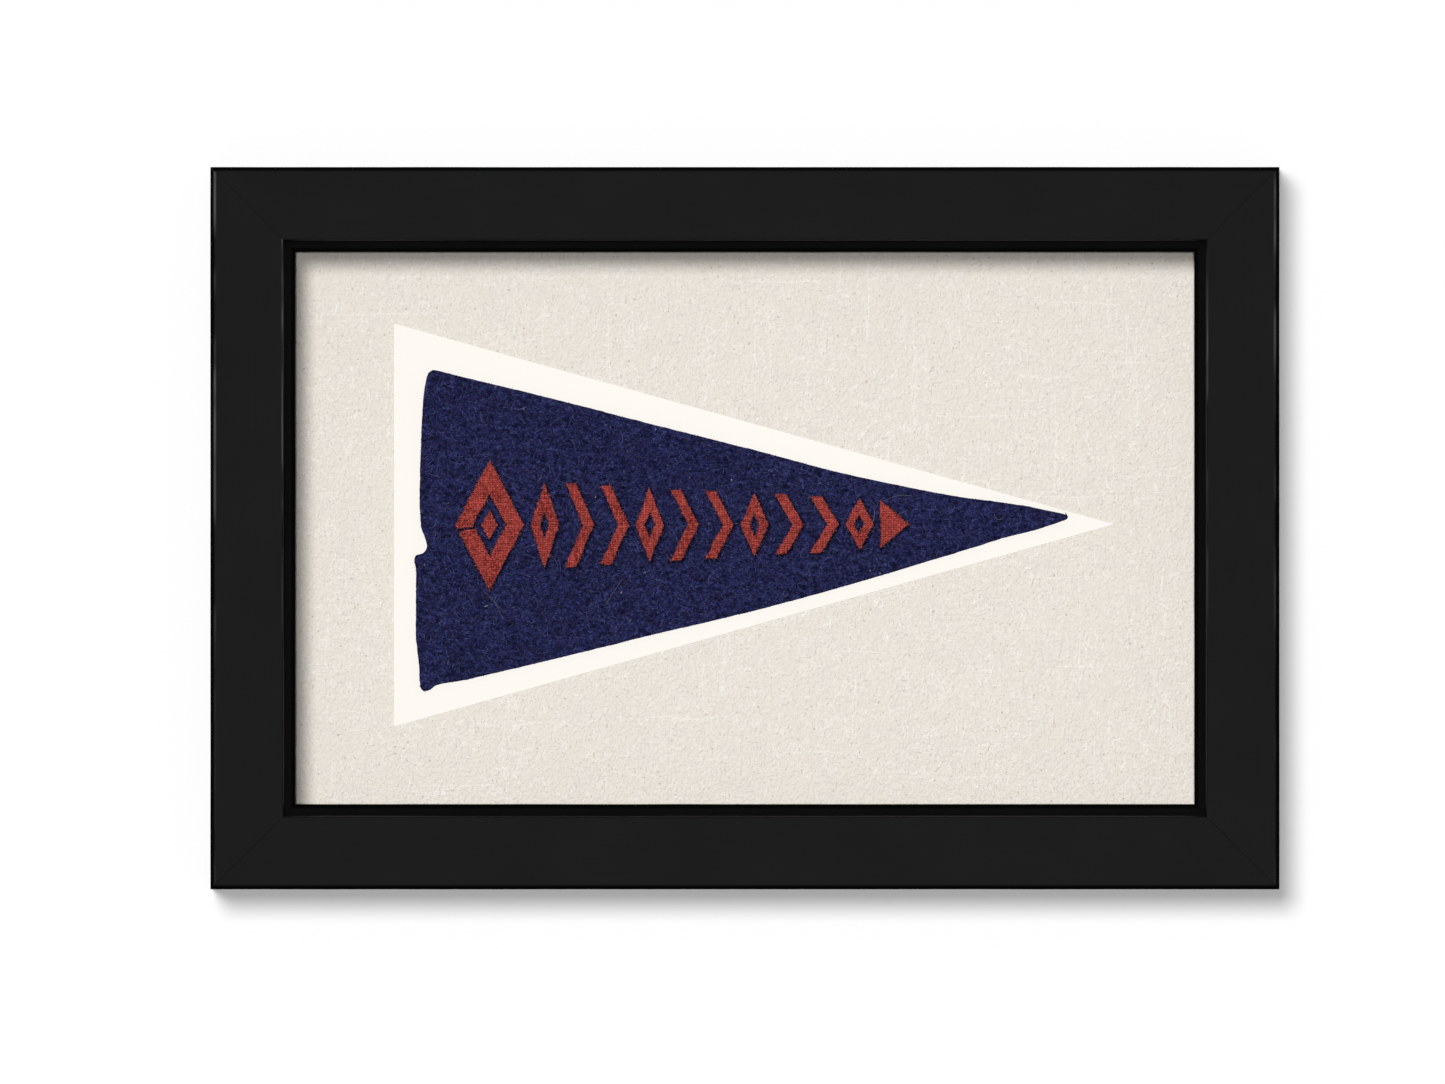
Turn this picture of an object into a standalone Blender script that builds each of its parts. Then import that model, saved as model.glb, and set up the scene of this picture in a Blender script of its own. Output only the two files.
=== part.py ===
"""A felt pennant flag, laid on card and linen in a mitred black picture frame.

The picture stands upright, with its front facing -Y and its back on the plane y = 0.
The origin is the middle of the top rail's back face. Sizes are in metres.
A height is measured from the frame's centre line, and a depth forward from the plane y = 0.
"""

import math

import bmesh
import bpy
from mathutils import Vector
from mathutils.geometry import delaunay_2d_cdt

MM = 0.001
MERGE = MM / 100

# Outer size of the picture frame, and its moulding
FRAME_WIDTH = 373.7 * MM
FRAME_HEIGHT = 252.5 * MM
FRAME_DEPTH = 30 * MM
RAIL_WIDTH = 29.4 * MM
RAIL_FACE = 25.5 * MM
OUTER_ROUND = 1.9 * MM
FACE_BEAD = 0.8 * MM
LIP_STEP = 2.2 * MM
LIP_COVE = 0.6 * MM
SIGHT_SLOPE_WIDTH = 2.0 * MM
SIGHT_SLOPE_DROP = 1.6 * MM
RABBET_WIDTH = 7.5 * MM
RABBET_DEPTH = 6.1 * MM
MITRE_GAP = 0.3 * MM
ARC_STEPS = 5

# The layers behind and under the pennant, from the back forward
LAYER_GAP = 0.3 * MM
BOARD_BACK = 2.5 * MM
BOARD_THICKNESS = 2.0 * MM
BOARD_CLEARANCE = 0.5 * MM
LINEN_THICKNESS = 1.0 * MM
LINEN_INSET = 1.0 * MM
CARD_THICKNESS = 1.0 * MM
CARD_HOIST_X = -122.6 * MM
CARD_TIP_X = 128.3 * MM
CARD_TOP = 71.8 * MM
CARD_BOTTOM = -69.6 * MM
CARD_TIP_HEIGHT = 1.4 * MM

# The pennant: one sheet of felt, drawn from its hoist line towards its tip
FELT_THICKNESS = 2.0 * MM
FELT_HOIST_X = -115.3 * MM
FELT_PITCH = 5.0 * MM
EDGE_PITCH = 4.0 * MM
TIP_LIFT_START = 190 * MM
TIP_LIFT_LENGTH = 39 * MM
TIP_LIFT = 0.9 * MM

# Upper and lower edge: distance from the hoist line, height of each edge, in mm
FELT_EDGES = (
    # along, top, bottom
    (12.0, 54.1, -54.0),
    (19.3, 52.3, -52.7),
    (47.3, 45.5, -46.1),
    (82.3, 36.5, -37.5),
    (117.3, 27.7, -29.2),
    (152.3, 18.6, -19.7),
    (187.3, 11.5, -9.2),
    (206.0, 8.9, -3.4),
    (222.0, 5.6, 1.6),
)
# Rounded tip, from the upper edge to the lower one, in mm
FELT_TIP = (
    # along, height
    (226.4, 4.9),
    (228.2, 4.4),
    (228.4, 3.6),
    (227.4, 3.1),
)
# Worn hoist edge, from its lower corner up: how far it lies in from the hoist line, in mm
FELT_HOIST = (
    # inset, height
    (7.0, -54.9),
    (5.2, -56.6),
    (2.9, -57.2),
    (1.6, -56.0),
    (1.2, -47.9),
    (0.2, -39.5),
    (0.1, -25.2),
    (0.2, -14.7),
    (-0.6, -11.2),
    (0.1, -9.4),
    (2.6, -8.9),
    (3.9, -7.4),
    (4.2, -5.9),
    (3.3, -3.5),
    (2.0, -0.3),
    (1.4, 9.8),
    (1.7, 23.8),
    (2.2, 37.8),
    (3.2, 49.7),
    (4.2, 54.2),
    (5.9, 55.5),
    (8.2, 55.1),
)
# Slow waves of the felt: height in mm, run along and run up the flag in mm, turn in radians
FELT_WAVES = (
    # height, run_along, run_up, turn
    (0.30, 92.0, 160.0, 0.4),
    (0.18, 47.0, -71.0, 1.9),
    (0.10, 29.0, 38.0, 0.2),
)

# Sewn-on cloth patches: one large lozenge ring with a small lozenge in it, and a tapering row
PATCH_THICKNESS = 1.0 * MM
PATCH_PITCH = 3.0 * MM
CUT_WOBBLE = 0.14 * MM
CUT_RUN = 11.0 * MM
CUT_SLANT = 0.7
LARGE_X = -89.4 * MM
LARGE_HEIGHT = 1.1 * MM
LARGE_HALF = (11.9 * MM, 22.8 * MM)
LARGE_STROKE = 5.4 * MM
LARGE_MIDDLE_HALF = (2.7 * MM, 5.1 * MM)
SPLIT_START = 0.06
SPLIT_WIDTH = 1.3 * MM
ROW_START_X = -70.1 * MM
ROW_PITCH = 12.25 * MM
ROW_HEIGHT = 1.05 * MM
ROW_RISE = 0.035 * MM
ROW_HALF_WIDTH = 4.9 * MM
ROW_HALF_HEIGHT = 15.0 * MM
ROW_TAPER = 0.66 * MM
ROW_STROKE = 3.1 * MM
ROW_STROKE_TAPER = 0.05 * MM
ROW_RHYTHM = ("ring", "arrow", "arrow") * 3 + ("ring", "wedge")

BACK_WIDTH = RAIL_WIDTH - RABBET_WIDTH
CENTRE_Z = BACK_WIDTH / 2 - FRAME_HEIGHT / 2
LINEN_BACK = BOARD_BACK + BOARD_THICKNESS + LAYER_GAP
CARD_BACK = LINEN_BACK + LINEN_THICKNESS + LAYER_GAP
FELT_BACK = CARD_BACK + CARD_THICKNESS + LAYER_GAP
PATCH_BACK = FELT_BACK + FELT_THICKNESS + LAYER_GAP


def clear_scene():
    for item in list(bpy.data.objects):
        bpy.data.objects.remove(item)


def finish(name, colour, roughness, sheen=0.0):
    """A plain surface in one colour."""
    material = bpy.data.materials.new(name)
    material.use_nodes = True
    shader = material.node_tree.nodes["Principled BSDF"]
    shader.inputs["Base Color"].default_value = (*colour, 1.0)
    shader.inputs["Roughness"].default_value = roughness
    shader.inputs["Metallic"].default_value = 0.0
    shader.inputs["Sheen Weight"].default_value = sheen
    return material


def place(name, bm, material, turn=0.0):
    """Puts a shape in the scene, turned in the picture's plane about the frame's centre."""
    bmesh.ops.recalc_face_normals(bm, faces=bm.faces)
    mesh = bpy.data.meshes.new(name)
    bm.to_mesh(mesh)
    bm.free()
    mesh.materials.append(material)
    piece = bpy.data.objects.new(name, mesh)
    piece.location = (0.0, 0.0, CENTRE_Z)
    piece.rotation_euler = (0.0, turn, 0.0)
    bpy.context.scene.collection.objects.link(piece)
    return piece


def arc(centre, radii, start, end):
    """Points of a quarter round, from one angle to another in degrees."""
    points = []
    for step in range(ARC_STEPS + 1):
        angle = math.radians(start + (end - start) * step / ARC_STEPS)
        across = centre[0] + radii[0] * math.cos(angle)
        forward = centre[1] + radii[1] * math.sin(angle)
        points.append((across, forward))
    return points


def rail_section():
    """The moulding's section as (distance in from the outer side, depth), round from the back edge."""
    lip_depth = FRAME_DEPTH - LIP_STEP
    slope_start = RAIL_WIDTH - SIGHT_SLOPE_WIDTH
    slope_end = lip_depth - SIGHT_SLOPE_DROP
    round_centre = (OUTER_ROUND, FRAME_DEPTH - OUTER_ROUND)
    bead_centre = (RAIL_FACE - FACE_BEAD, FRAME_DEPTH - FACE_BEAD)
    cove_centre = (RAIL_FACE + LIP_COVE, lip_depth + LIP_COVE)
    section = [(0.0, 0.0)]
    section += arc(round_centre, (OUTER_ROUND, OUTER_ROUND), 180, 90)
    section += arc(bead_centre, (FACE_BEAD, FACE_BEAD), 90, 0)
    section += arc(cove_centre, (LIP_COVE, LIP_COVE), 180, 270)
    section += arc((slope_start, slope_end), (SIGHT_SLOPE_WIDTH, SIGHT_SLOPE_DROP), 90, 0)
    section += [(RAIL_WIDTH, RABBET_DEPTH), (BACK_WIDTH, RABBET_DEPTH), (BACK_WIDTH, 0.0)]
    return section


def make_rail(name, half_run, half_reach, turn, material):
    """One rail of the frame, built as the upper one and turned into place.

    The section's ends step in as far as the section itself, which cuts the mitres."""
    bm = bmesh.new()
    setback = MITRE_GAP / 2 * math.sqrt(2)
    rings = []
    for side in (-1, 1):
        ring = []
        for inset, depth in rail_section():
            run = half_run - inset - setback
            ring.append(bm.verts.new((side * run, -depth, half_reach - inset)))
        rings.append(ring)
        bm.faces.new(ring)
    count = len(rings[0])
    for i in range(count):
        j = (i + 1) % count
        bm.faces.new((rings[0][i], rings[0][j], rings[1][j], rings[1][i]))
    return place(name, bm, material, turn)


def thicken(bm, thickness):
    """Gives a sheet its thickness, forward of the faces it was drawn with."""
    grown = bmesh.ops.extrude_face_region(bm, geom=bm.faces[:])
    front = [item for item in grown["geom"] if isinstance(item, bmesh.types.BMVert)]
    bmesh.ops.translate(bm, verts=front, vec=Vector((0.0, -thickness, 0.0)))


def make_flat(name, corners, back, thickness, material):
    """A flat sheet with straight sides, given its corners as (x, height)."""
    bm = bmesh.new()
    bm.faces.new([bm.verts.new((x, -back, height)) for x, height in corners])
    thicken(bm, thickness)
    return place(name, bm, material)


def make_slab(name, half_width, half_height, back, thickness, material):
    """A flat rectangular sheet about the frame's centre."""
    low, high = (-half_width, -half_height), (half_width, half_height)
    corners = [low, (high[0], low[1]), high, (low[0], high[1])]
    return make_flat(name, corners, back, thickness, material)


def felt_lift(x, height):
    """How far the felt stands forward of where it would lie flat."""
    along = x - FELT_HOIST_X
    lift = 0.0
    for size, run_along, run_up, turn in FELT_WAVES:
        wave = math.sin(math.tau * (along / run_along + height / run_up) / MM + turn)
        lift += size * MM * (1 + wave) / 2
    rise = min(max((along - TIP_LIFT_START) / TIP_LIFT_LENGTH, 0.0), 1.0)
    return lift + TIP_LIFT * rise * rise


def smooth_line(points, pitch):
    """A smooth curve through the points, with its own points about a pitch apart."""
    ends = [points[0]] + list(points) + [points[-1]]
    line = []
    for before, start, end, after in zip(ends, ends[1:], ends[2:], ends[3:]):
        before, start, end, after = (Vector(point) for point in (before, start, end, after))
        steps = max(1, round((end - start).length / pitch))
        for step in range(steps):
            t = step / steps
            bend = (end - before) * t + (2 * before - 5 * start + 4 * end - after) * t**2
            bend += (3 * start - before - 3 * end + after) * t**3
            line.append(start + bend / 2)
    return line


def felt_outline():
    """The pennant's cut edge as (x, height), up the hoist, out to the tip and back."""
    top = [(along, upper) for along, upper, lower in FELT_EDGES]
    bottom = [(along, lower) for along, upper, lower in reversed(FELT_EDGES)]
    corners = list(FELT_HOIST) + top + list(FELT_TIP) + bottom + [FELT_HOIST[0]]
    return smooth_line([(FELT_HOIST_X + along * MM, height * MM) for along, height in corners], EDGE_PITCH)


def inside(point, outline, margin):
    """True if the point lies within the outline, and at least the margin away from it."""
    crossings = 0
    for start, end in zip(outline, outline[1:] + outline[:1]):
        span = end - start
        share = min(max((point - start).dot(span) / span.length_squared, 0.0), 1.0)
        if (start + span * share - point).length < margin:
            return False
        if (start.y > point.y) != (end.y > point.y):
            crossings += point.x < start.x + span.x * (point.y - start.y) / span.y
    return crossings % 2 == 1


def make_felt(material):
    """The pennant: triangles over its whole face at an even pitch, so that it can follow its waves."""
    outline = felt_outline()
    low = Vector((min(point.x for point in outline), min(point.y for point in outline)))
    high = Vector((max(point.x for point in outline), max(point.y for point in outline)))
    columns = math.ceil((high.x - low.x) / FELT_PITCH)
    rows = math.ceil((high.y - low.y) / FELT_PITCH)
    seeds = list(outline)
    for row in range(rows):
        for column in range(columns):
            seed = low + Vector((column + 0.5 * (row % 2), row)) * FELT_PITCH
            if inside(seed, outline, FELT_PITCH / 2):
                seeds.append(seed)
    rim = [list(range(len(outline)))]
    points, _, triangles, _, _, _ = delaunay_2d_cdt(seeds, [], rim, 1, MERGE)
    bm = bmesh.new()
    verts = [bm.verts.new((x, -FELT_BACK - felt_lift(x, height), height)) for x, height in points]
    for triangle in triangles:
        bm.faces.new([verts[i] for i in triangle])
    thicken(bm, FELT_THICKNESS)
    return place("felt_pennant", bm, material)


def cut_edge(point):
    """A point of a patch's cut edge, moved a little, as scissors leave it."""
    sway = CUT_WOBBLE * math.sin(math.tau * (point.x + CUT_SLANT * point.y) / CUT_RUN)
    rise = CUT_WOBBLE * math.sin(math.tau * (point.y - CUT_SLANT * point.x) / CUT_RUN)
    return point + Vector((sway, rise))


def make_patch(name, centre, outer, inner, material):
    """A strip of cloth between two cut edges, which lies on the felt and follows it.

    The edges have the same number of corners, and each pair of corners faces across the strip.
    Edges that meet in a point, or come round to their start, are closed there."""
    bm = bmesh.new()
    pairs = []
    for i in range(len(outer) - 1):
        corners = [Vector(corner) for corner in (outer[i], outer[i + 1], inner[i], inner[i + 1])]
        steps = max(2, math.ceil((corners[1] - corners[0]).length / PATCH_PITCH))
        last = i == len(outer) - 2
        for step in range(steps + last):
            share = step / steps
            pairs.append((corners[0].lerp(corners[1], share), corners[2].lerp(corners[3], share)))
    rows = []
    for pair in pairs:
        row = []
        for point in pair:
            x, height = cut_edge(Vector(centre) + point)
            row.append(bm.verts.new((x, -PATCH_BACK - felt_lift(x, height), height)))
        rows.append(row)
    for row, after in zip(rows, rows[1:]):
        bm.faces.new((row[0], row[1], after[1], after[0]))
    bmesh.ops.remove_doubles(bm, verts=bm.verts, dist=MERGE)
    thicken(bm, PATCH_THICKNESS)
    return place(name, bm, material)


def lozenge(half_width, half_height):
    """Corners of a lozenge, round from the left one by way of the top, and back to it."""
    left, right = (-half_width, 0.0), (half_width, 0.0)
    return [left, (0.0, half_height), right, (0.0, -half_height), left]


def within(half_width, half_height, stroke):
    """Half sizes of the lozenge that leaves a band of the stroke's width round it."""
    inner = half_width - stroke * math.hypot(1.0, half_width / half_height)
    return inner, inner * half_height / half_width


def make_ring(name, centre, half_width, half_height, stroke, material):
    """A lozenge cut out as a closed band."""
    inner = lozenge(*within(half_width, half_height, stroke))
    return make_patch(name, centre, lozenge(half_width, half_height), inner, material)


def make_split_ring(name, centre, half_width, half_height, stroke, material):
    """A lozenge band with a worn split right through it, below its left corner."""
    side = math.hypot(half_width, half_height)
    edges = []
    for corners in (lozenge(half_width, half_height), lozenge(*within(half_width, half_height, stroke))):
        left, bottom = Vector(corners[0]), Vector(corners[3])
        start = left.lerp(bottom, SPLIT_START)
        end = left.lerp(bottom, SPLIT_START + SPLIT_WIDTH / side)
        edges.append([start] + corners[:4] + [end])
    return make_patch(name, centre, *edges, material)


def make_arrow(name, centre, half_width, half_height, stroke, material):
    """A chevron that points to the flag's tip, its ends cut level."""
    slope = 2 * half_width / half_height
    across = stroke * math.hypot(1.0, slope)
    front = [(across - half_width, half_height), (half_width, 0.0), (across - half_width, -half_height)]
    back = [(-half_width, half_height), (half_width - across, 0.0), (-half_width, -half_height)]
    return make_patch(name, centre, front, back, material)


def make_wedge(name, centre, half_width, half_height, material):
    """A solid triangle that points to the flag's tip."""
    top, bottom = (-half_width, half_height), (-half_width, -half_height)
    tip, middle = (half_width, 0.0), (-half_width, 0.0)
    return make_patch(name, centre, [top, tip, bottom], [top, middle, bottom], material)


def make_solid_lozenge(name, centre, half_width, half_height, material):
    """A lozenge of whole cloth."""
    left, top, right, bottom, _ = lozenge(half_width, half_height)
    return make_patch(name, centre, [top, right, bottom], [top, left, bottom], material)


def make_row(material):
    """The row of patches, each a little lower than the one before it, towards the tip."""
    for i, form in enumerate(ROW_RHYTHM):
        name = f"patch_row_{i + 1:02d}"
        centre = (ROW_START_X + ROW_PITCH * i, ROW_HEIGHT + ROW_RISE * i)
        half_height = ROW_HALF_HEIGHT - ROW_TAPER * i
        stroke = ROW_STROKE - ROW_STROKE_TAPER * i
        if form == "ring":
            make_ring(name, centre, ROW_HALF_WIDTH, half_height, stroke, material)
        elif form == "arrow":
            make_arrow(name, centre, ROW_HALF_WIDTH, half_height, stroke, material)
        else:
            make_wedge(name, centre, ROW_HALF_WIDTH, half_height, material)


def make_frame(material):
    half_width, half_height = FRAME_WIDTH / 2, FRAME_HEIGHT / 2
    make_rail("frame_top", half_width, half_height, 0.0, material)
    make_rail("frame_bottom", half_width, half_height, math.pi, material)
    make_rail("frame_right", half_height, half_width, math.pi / 2, material)
    make_rail("frame_left", half_height, half_width, -math.pi / 2, material)


def make_backing(board_finish, linen_finish, card_finish):
    """The board in the rabbet, the linen sheet on it, and the card triangle on the linen."""
    half_width = FRAME_WIDTH / 2 - BACK_WIDTH - BOARD_CLEARANCE
    half_height = FRAME_HEIGHT / 2 - BACK_WIDTH - BOARD_CLEARANCE
    make_slab("mount_board", half_width, half_height, BOARD_BACK, BOARD_THICKNESS, board_finish)
    linen_half = (half_width - LINEN_INSET, half_height - LINEN_INSET)
    make_slab("linen_ground", *linen_half, LINEN_BACK, LINEN_THICKNESS, linen_finish)
    corners = [(CARD_HOIST_X, CARD_BOTTOM), (CARD_TIP_X, CARD_TIP_HEIGHT), (CARD_HOIST_X, CARD_TOP)]
    make_flat("card_triangle", corners, CARD_BACK, CARD_THICKNESS, card_finish)


def make_patches(material):
    centre = (LARGE_X, LARGE_HEIGHT)
    make_split_ring("patch_large_ring", centre, *LARGE_HALF, LARGE_STROKE, material)
    make_solid_lozenge("patch_large_middle", centre, *LARGE_MIDDLE_HALF, material)
    make_row(material)


def main():
    clear_scene()
    black_paint = finish("black_painted_wood", (0.012, 0.012, 0.013), 0.42)
    grey_board = finish("grey_board", (0.30, 0.28, 0.25), 0.85)
    linen = finish("natural_linen", (0.79, 0.75, 0.69), 0.9, sheen=0.1)
    card = finish("cream_card", (0.96, 0.93, 0.86), 0.75)
    felt = finish("navy_felt", (0.017, 0.018, 0.058), 0.95, sheen=0.2)
    red_cloth = finish("red_cloth", (0.29, 0.045, 0.034), 0.9, sheen=0.1)
    make_frame(black_paint)
    make_backing(grey_board, linen, card)
    make_felt(felt)
    make_patches(red_cloth)


main()
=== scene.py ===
import math

import bmesh
import bpy
import numpy as np
from bpy.props import FloatProperty, FloatVectorProperty, IntProperty, PointerProperty
from bpy.types import Operator, Panel, PropertyGroup
from mathutils import Matrix, Vector
from mathutils.bvhtree import BVHTree
from mathutils.kdtree import KDTree


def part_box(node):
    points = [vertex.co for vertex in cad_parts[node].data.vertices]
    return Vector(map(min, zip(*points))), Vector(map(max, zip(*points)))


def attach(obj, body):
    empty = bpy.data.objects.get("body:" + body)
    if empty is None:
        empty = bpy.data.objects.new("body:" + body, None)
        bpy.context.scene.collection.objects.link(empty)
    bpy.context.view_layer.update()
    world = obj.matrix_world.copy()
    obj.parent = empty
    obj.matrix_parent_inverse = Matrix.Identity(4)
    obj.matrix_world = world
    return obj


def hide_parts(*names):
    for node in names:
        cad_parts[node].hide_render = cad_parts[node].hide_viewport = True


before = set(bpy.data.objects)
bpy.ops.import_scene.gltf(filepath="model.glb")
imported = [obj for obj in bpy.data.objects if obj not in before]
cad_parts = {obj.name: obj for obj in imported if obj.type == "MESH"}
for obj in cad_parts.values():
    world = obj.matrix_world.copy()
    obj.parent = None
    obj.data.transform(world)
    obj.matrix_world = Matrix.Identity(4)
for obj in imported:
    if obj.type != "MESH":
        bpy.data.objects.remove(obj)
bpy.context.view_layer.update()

bl_info = {
    "name": "Framed Felt Pennant",
    "version": (1, 0, 0),
    "blender": (4, 5, 0),
    "location": "View3D > Sidebar > Pennant",
    "description": "Builds a worn felt pennant on card and linen in a black picture frame",
    "category": "Add Mesh",
}

MM = 0.001
TOP_LOW, TOP_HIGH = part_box("frame_top")
LEFT_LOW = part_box("frame_left")[0]
RIGHT_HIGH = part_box("frame_right")[1]
LINEN_LOW, LINEN_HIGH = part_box("linen_ground")
CARD_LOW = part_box("card_triangle")[0]
FELT_LOW, FELT_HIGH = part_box("felt_pennant")
FRAME_WIDTH = RIGHT_HIGH.x - LEFT_LOW.x
FRAME_HEIGHT = TOP_HIGH.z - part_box("frame_bottom")[0].z
FRAME_CENTRE = Vector((0.0, 0.0, TOP_HIGH.z - FRAME_HEIGHT / 2))
FRAME_DEPTH = TOP_HIGH.y - TOP_LOW.y
PATCH_NODES = sorted(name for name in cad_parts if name.startswith("patch_"))

# The photograph: its size, the frame's centre in it, and the frame's width there
PHOTO_WIDTH = 1445
PHOTO_HEIGHT = 1084
PHOTO_CENTRE = (744.9, 528.2)
PHOTO_FRAME_WIDTH = 1069.0

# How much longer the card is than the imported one, and how far from its upright edge it stays in place
CARD_STRETCH = 1.007
CARD_STAYS = 54 * MM

# How far a patch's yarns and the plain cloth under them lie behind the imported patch's face
YARNS_BEHIND = 0.45 * MM
CLOTH_BEHIND = 0.5 * MM

FRONT = Vector((0.0, -1.0, 0.0))


def linear(red, green, blue):
    """A colour read as 0 to 255 on a screen, as the shaders want it."""
    return tuple(((value / 255 + 0.055) / 1.055) ** 2.4 for value in (red, green, blue))


def size(name, default, description):
    return FloatProperty(
        name=name, default=default, description=description, subtype="DISTANCE", unit="LENGTH"
    )


def angle(name, default, description):
    """An angle, whose default is given in degrees."""
    return FloatProperty(name=name, default=math.radians(default), description=description, subtype="ANGLE")


def factor(name, default, description):
    return FloatProperty(name=name, default=default, min=0.0, description=description, subtype="FACTOR")


def slope(name, default, description):
    return FloatProperty(name=name, default=default, description=description)


def amount(name, default, description):
    return IntProperty(name=name, default=default, min=0, description=description)


def colour(name, default, description):
    return FloatVectorProperty(
        name=name, default=default, description=description, subtype="COLOR", size=3, min=0.0, max=1.0
    )


class MouldingSizes(PropertyGroup):
    """Sizes of the frame's moulding."""

    face: size("Face", 25.6 * MM, "Width of the flat face, from the outer side")
    outer_round: size("Outer Round", 1.9 * MM, "Rounding of the outer front edge")
    bead: size("Bead", 0.6 * MM, "Rounding of the face's inner edge")
    lip_step: size("Lip Step", 2.2 * MM, "How far the inner lip lies behind the face")
    lip_reach: size("Lip Reach", 0.4 * MM, "How much further in the lip reaches than the packed rail's")
    lip_slope: size("Lip Slope", 1.6 * MM, "How far the lip falls back towards the sight edge")
    lip_cove: size("Lip Cove", 0.4 * MM, "Hollow where the lip meets the step")
    sight_round: size("Sight Round", 0.8 * MM, "Rounding of the sight edge")
    undercut: size("Undercut", 1.0 * MM, "How far the sight edge leans back behind its front")
    back_round: size("Back Round", 0.5 * MM, "Rounding of the back's edges")
    rabbet_width: size("Rabbet Width", 7.5 * MM, "Width of the rabbet, from the packed rail's sight edge")
    rabbet_depth: size("Rabbet Depth", 6.1 * MM, "Depth of the rabbet, from the back")
    mitre_line: size("Mitre Line", 0.09 * MM, "Gap that shows as the line of each mitre")
    unevenness: size("Unevenness", 0.1 * MM, "How far the painted surface swells and dips")
    # Strength of the rubbed wear and painted highlight on the left rail's edges, which catch the most light
    wear_and_sheen: factor("Wear", 1.0, "Wear of the most worn rail's edges")
    cuts: amount("Cuts", 110, "Cuts along a rail, which let it swell and dip")


class ClothSizes(PropertyGroup):
    """Sizes of the felt, linen and woven patches."""

    felt_thickness: size("Felt Thickness", 1.9 * MM, "Thickness of the pennant's felt")
    felt_edge: size("Felt Edge", 0.5 * MM, "Rounding of the felt's cut edge")
    felt_relief: size("Felt Relief", 0.34 * MM, "Height of the felt's matted lumps")
    tip_bulge: factor("Tip Bulge", 1.3, "How many times as high the felt's tip is as the packed one")
    tip_length: size("Tip Length", 24 * MM, "Length of the felt's tip that is widened")
    press_depth: size("Press Depth", 0.35 * MM, "How far the felt is pressed in round the patches")
    short_fibres: amount("Short Fibres", 11500, "Short wool fibres on the felt")
    long_fibres: amount("Long Fibres", 1300, "Long wool fibres on the felt")
    edge_fibres: amount("Edge Fibres", 700, "Wool fibres at the felt's cut edge")
    hair_count: amount("Hairs", 8, "Stray pale hairs on the felt")
    lint_count: amount("Lint", 20, "Specks of pale lint on the felt")
    linen_pitch: size("Linen Pitch", 1.05 * MM, "Distance between points of the linen's surface")
    linen_relief: size("Linen Relief", 0.14 * MM, "How far the linen swells and dips")
    slub_count: amount("Slubs", 120, "Thick raised threads in the linen")
    curl_count: amount("Curls", 3600, "Raised curled fibres in the linen")
    weft_pitch: size("Weft Pitch", 0.8 * MM, "Distance between the patches' crosswise yarns")
    warp_pitch: size("Warp Pitch", 0.86 * MM, "Distance between the patches' upright yarns")
    weft_radius: size("Weft Radius", 0.34 * MM, "Half the thickness of a crosswise yarn")
    warp_radius: size("Warp Radius", 0.25 * MM, "Half the thickness of an upright yarn")
    fray: size("Fray", 0.34 * MM, "How far yarn ends stand out of a patch's cut edge")
    fuzz_pitch: size("Fuzz Pitch", 0.5 * MM, "Distance between loose fibres along a patch's edge")


class Colours(PropertyGroup):
    """Colours of the finishes."""

    paint: colour("Paint", (0.0048, 0.0049, 0.0050), "Satin black paint of the frame")
    # Lighter grey of the rubbed edges, which also paints their highlight
    rubbed_sheen: colour("Rubbed Paint", (0.115, 0.115, 0.115), "Paint where an edge is rubbed")
    board: colour("Board", linear(150, 143, 132), "Grey board behind the linen")
    linen: colour("Linen", linear(240.6, 234.2, 225.5), "Linen ground")
    linen_thread: colour("Linen Threads", linear(250, 245, 239), "Raised threads of the linen")
    card: colour("Card", linear(255, 250, 243), "Card triangle under the pennant")
    felt: colour("Felt", linear(38, 41, 83), "Navy wool felt")
    felt_light: colour("Light Wool", linear(122, 130, 194), "Lighter wool in the felt")
    felt_dark: colour("Dark Wool", linear(13, 13, 30), "Darker wool in the felt")
    red: colour("Red Cloth", linear(196, 88, 81), "Woven cloth of the patches")
    red_dark: colour("Dark Red", linear(92, 24, 22), "Shaded and stained cloth of the patches")
    lint: colour("Lint", linear(196, 194, 200), "Lint and stray hairs")


class StageSettings(PropertyGroup):
    """Camera and light."""

    distance: size("Camera Distance", 10.0, "Distance from the camera to the frame's face")
    key_share: factor("Key", 0.675, "Brightness that the key light gives white")
    fill_share: factor("Fill", 0.25, "Brightness that the frontal light gives white")
    room_share: factor("Room", 0.09, "Brightness that the room gives white")
    key_right: slope("Key Across", -0.19, "Key light's slope across, to the right")
    key_up: slope("Key Up", 0.24, "Key light's slope upwards")
    key_spread: angle("Key Spread", 19, "Angle that the key light fills")
    fill_spread: angle("Fill Spread", 1.5, "Angle that the frontal light fills")
    gloss: factor("Gloss", 0.3, "Brightness that paint mirrors from in front")


def deselect_all():
    active = bpy.context.view_layer.objects.active
    if active is not None and active.mode != "OBJECT":
        bpy.ops.object.mode_set(mode="OBJECT")
    bpy.ops.object.select_all(action="DESELECT")


def make_active(piece):
    deselect_all()
    piece.select_set(True)
    bpy.context.view_layer.objects.active = piece


def start_edit(piece, kind):
    """Edit mode on one piece, with nothing selected. kind is VERT, EDGE or FACE."""
    make_active(piece)
    bpy.ops.object.mode_set(mode="EDIT")
    bpy.ops.mesh.select_mode(type=kind)
    bpy.ops.mesh.select_all(action="DESELECT")


def pick(piece, kind, test):
    """Selects the edges or faces that pass the test, by their place or normal, and no others."""
    bpy.ops.mesh.select_all(action="DESELECT")
    mesh = bmesh.from_edit_mesh(piece.data)
    found = 0
    for item in mesh.edges if kind == "EDGE" else mesh.faces:
        if test(item):
            item.select_set(True)
            found += 1
    bmesh.update_edit_mesh(piece.data)
    if not found:
        raise RuntimeError(f"{piece.name}: nothing to select there")


def end_edit():
    bpy.ops.object.mode_set(mode="OBJECT")


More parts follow.
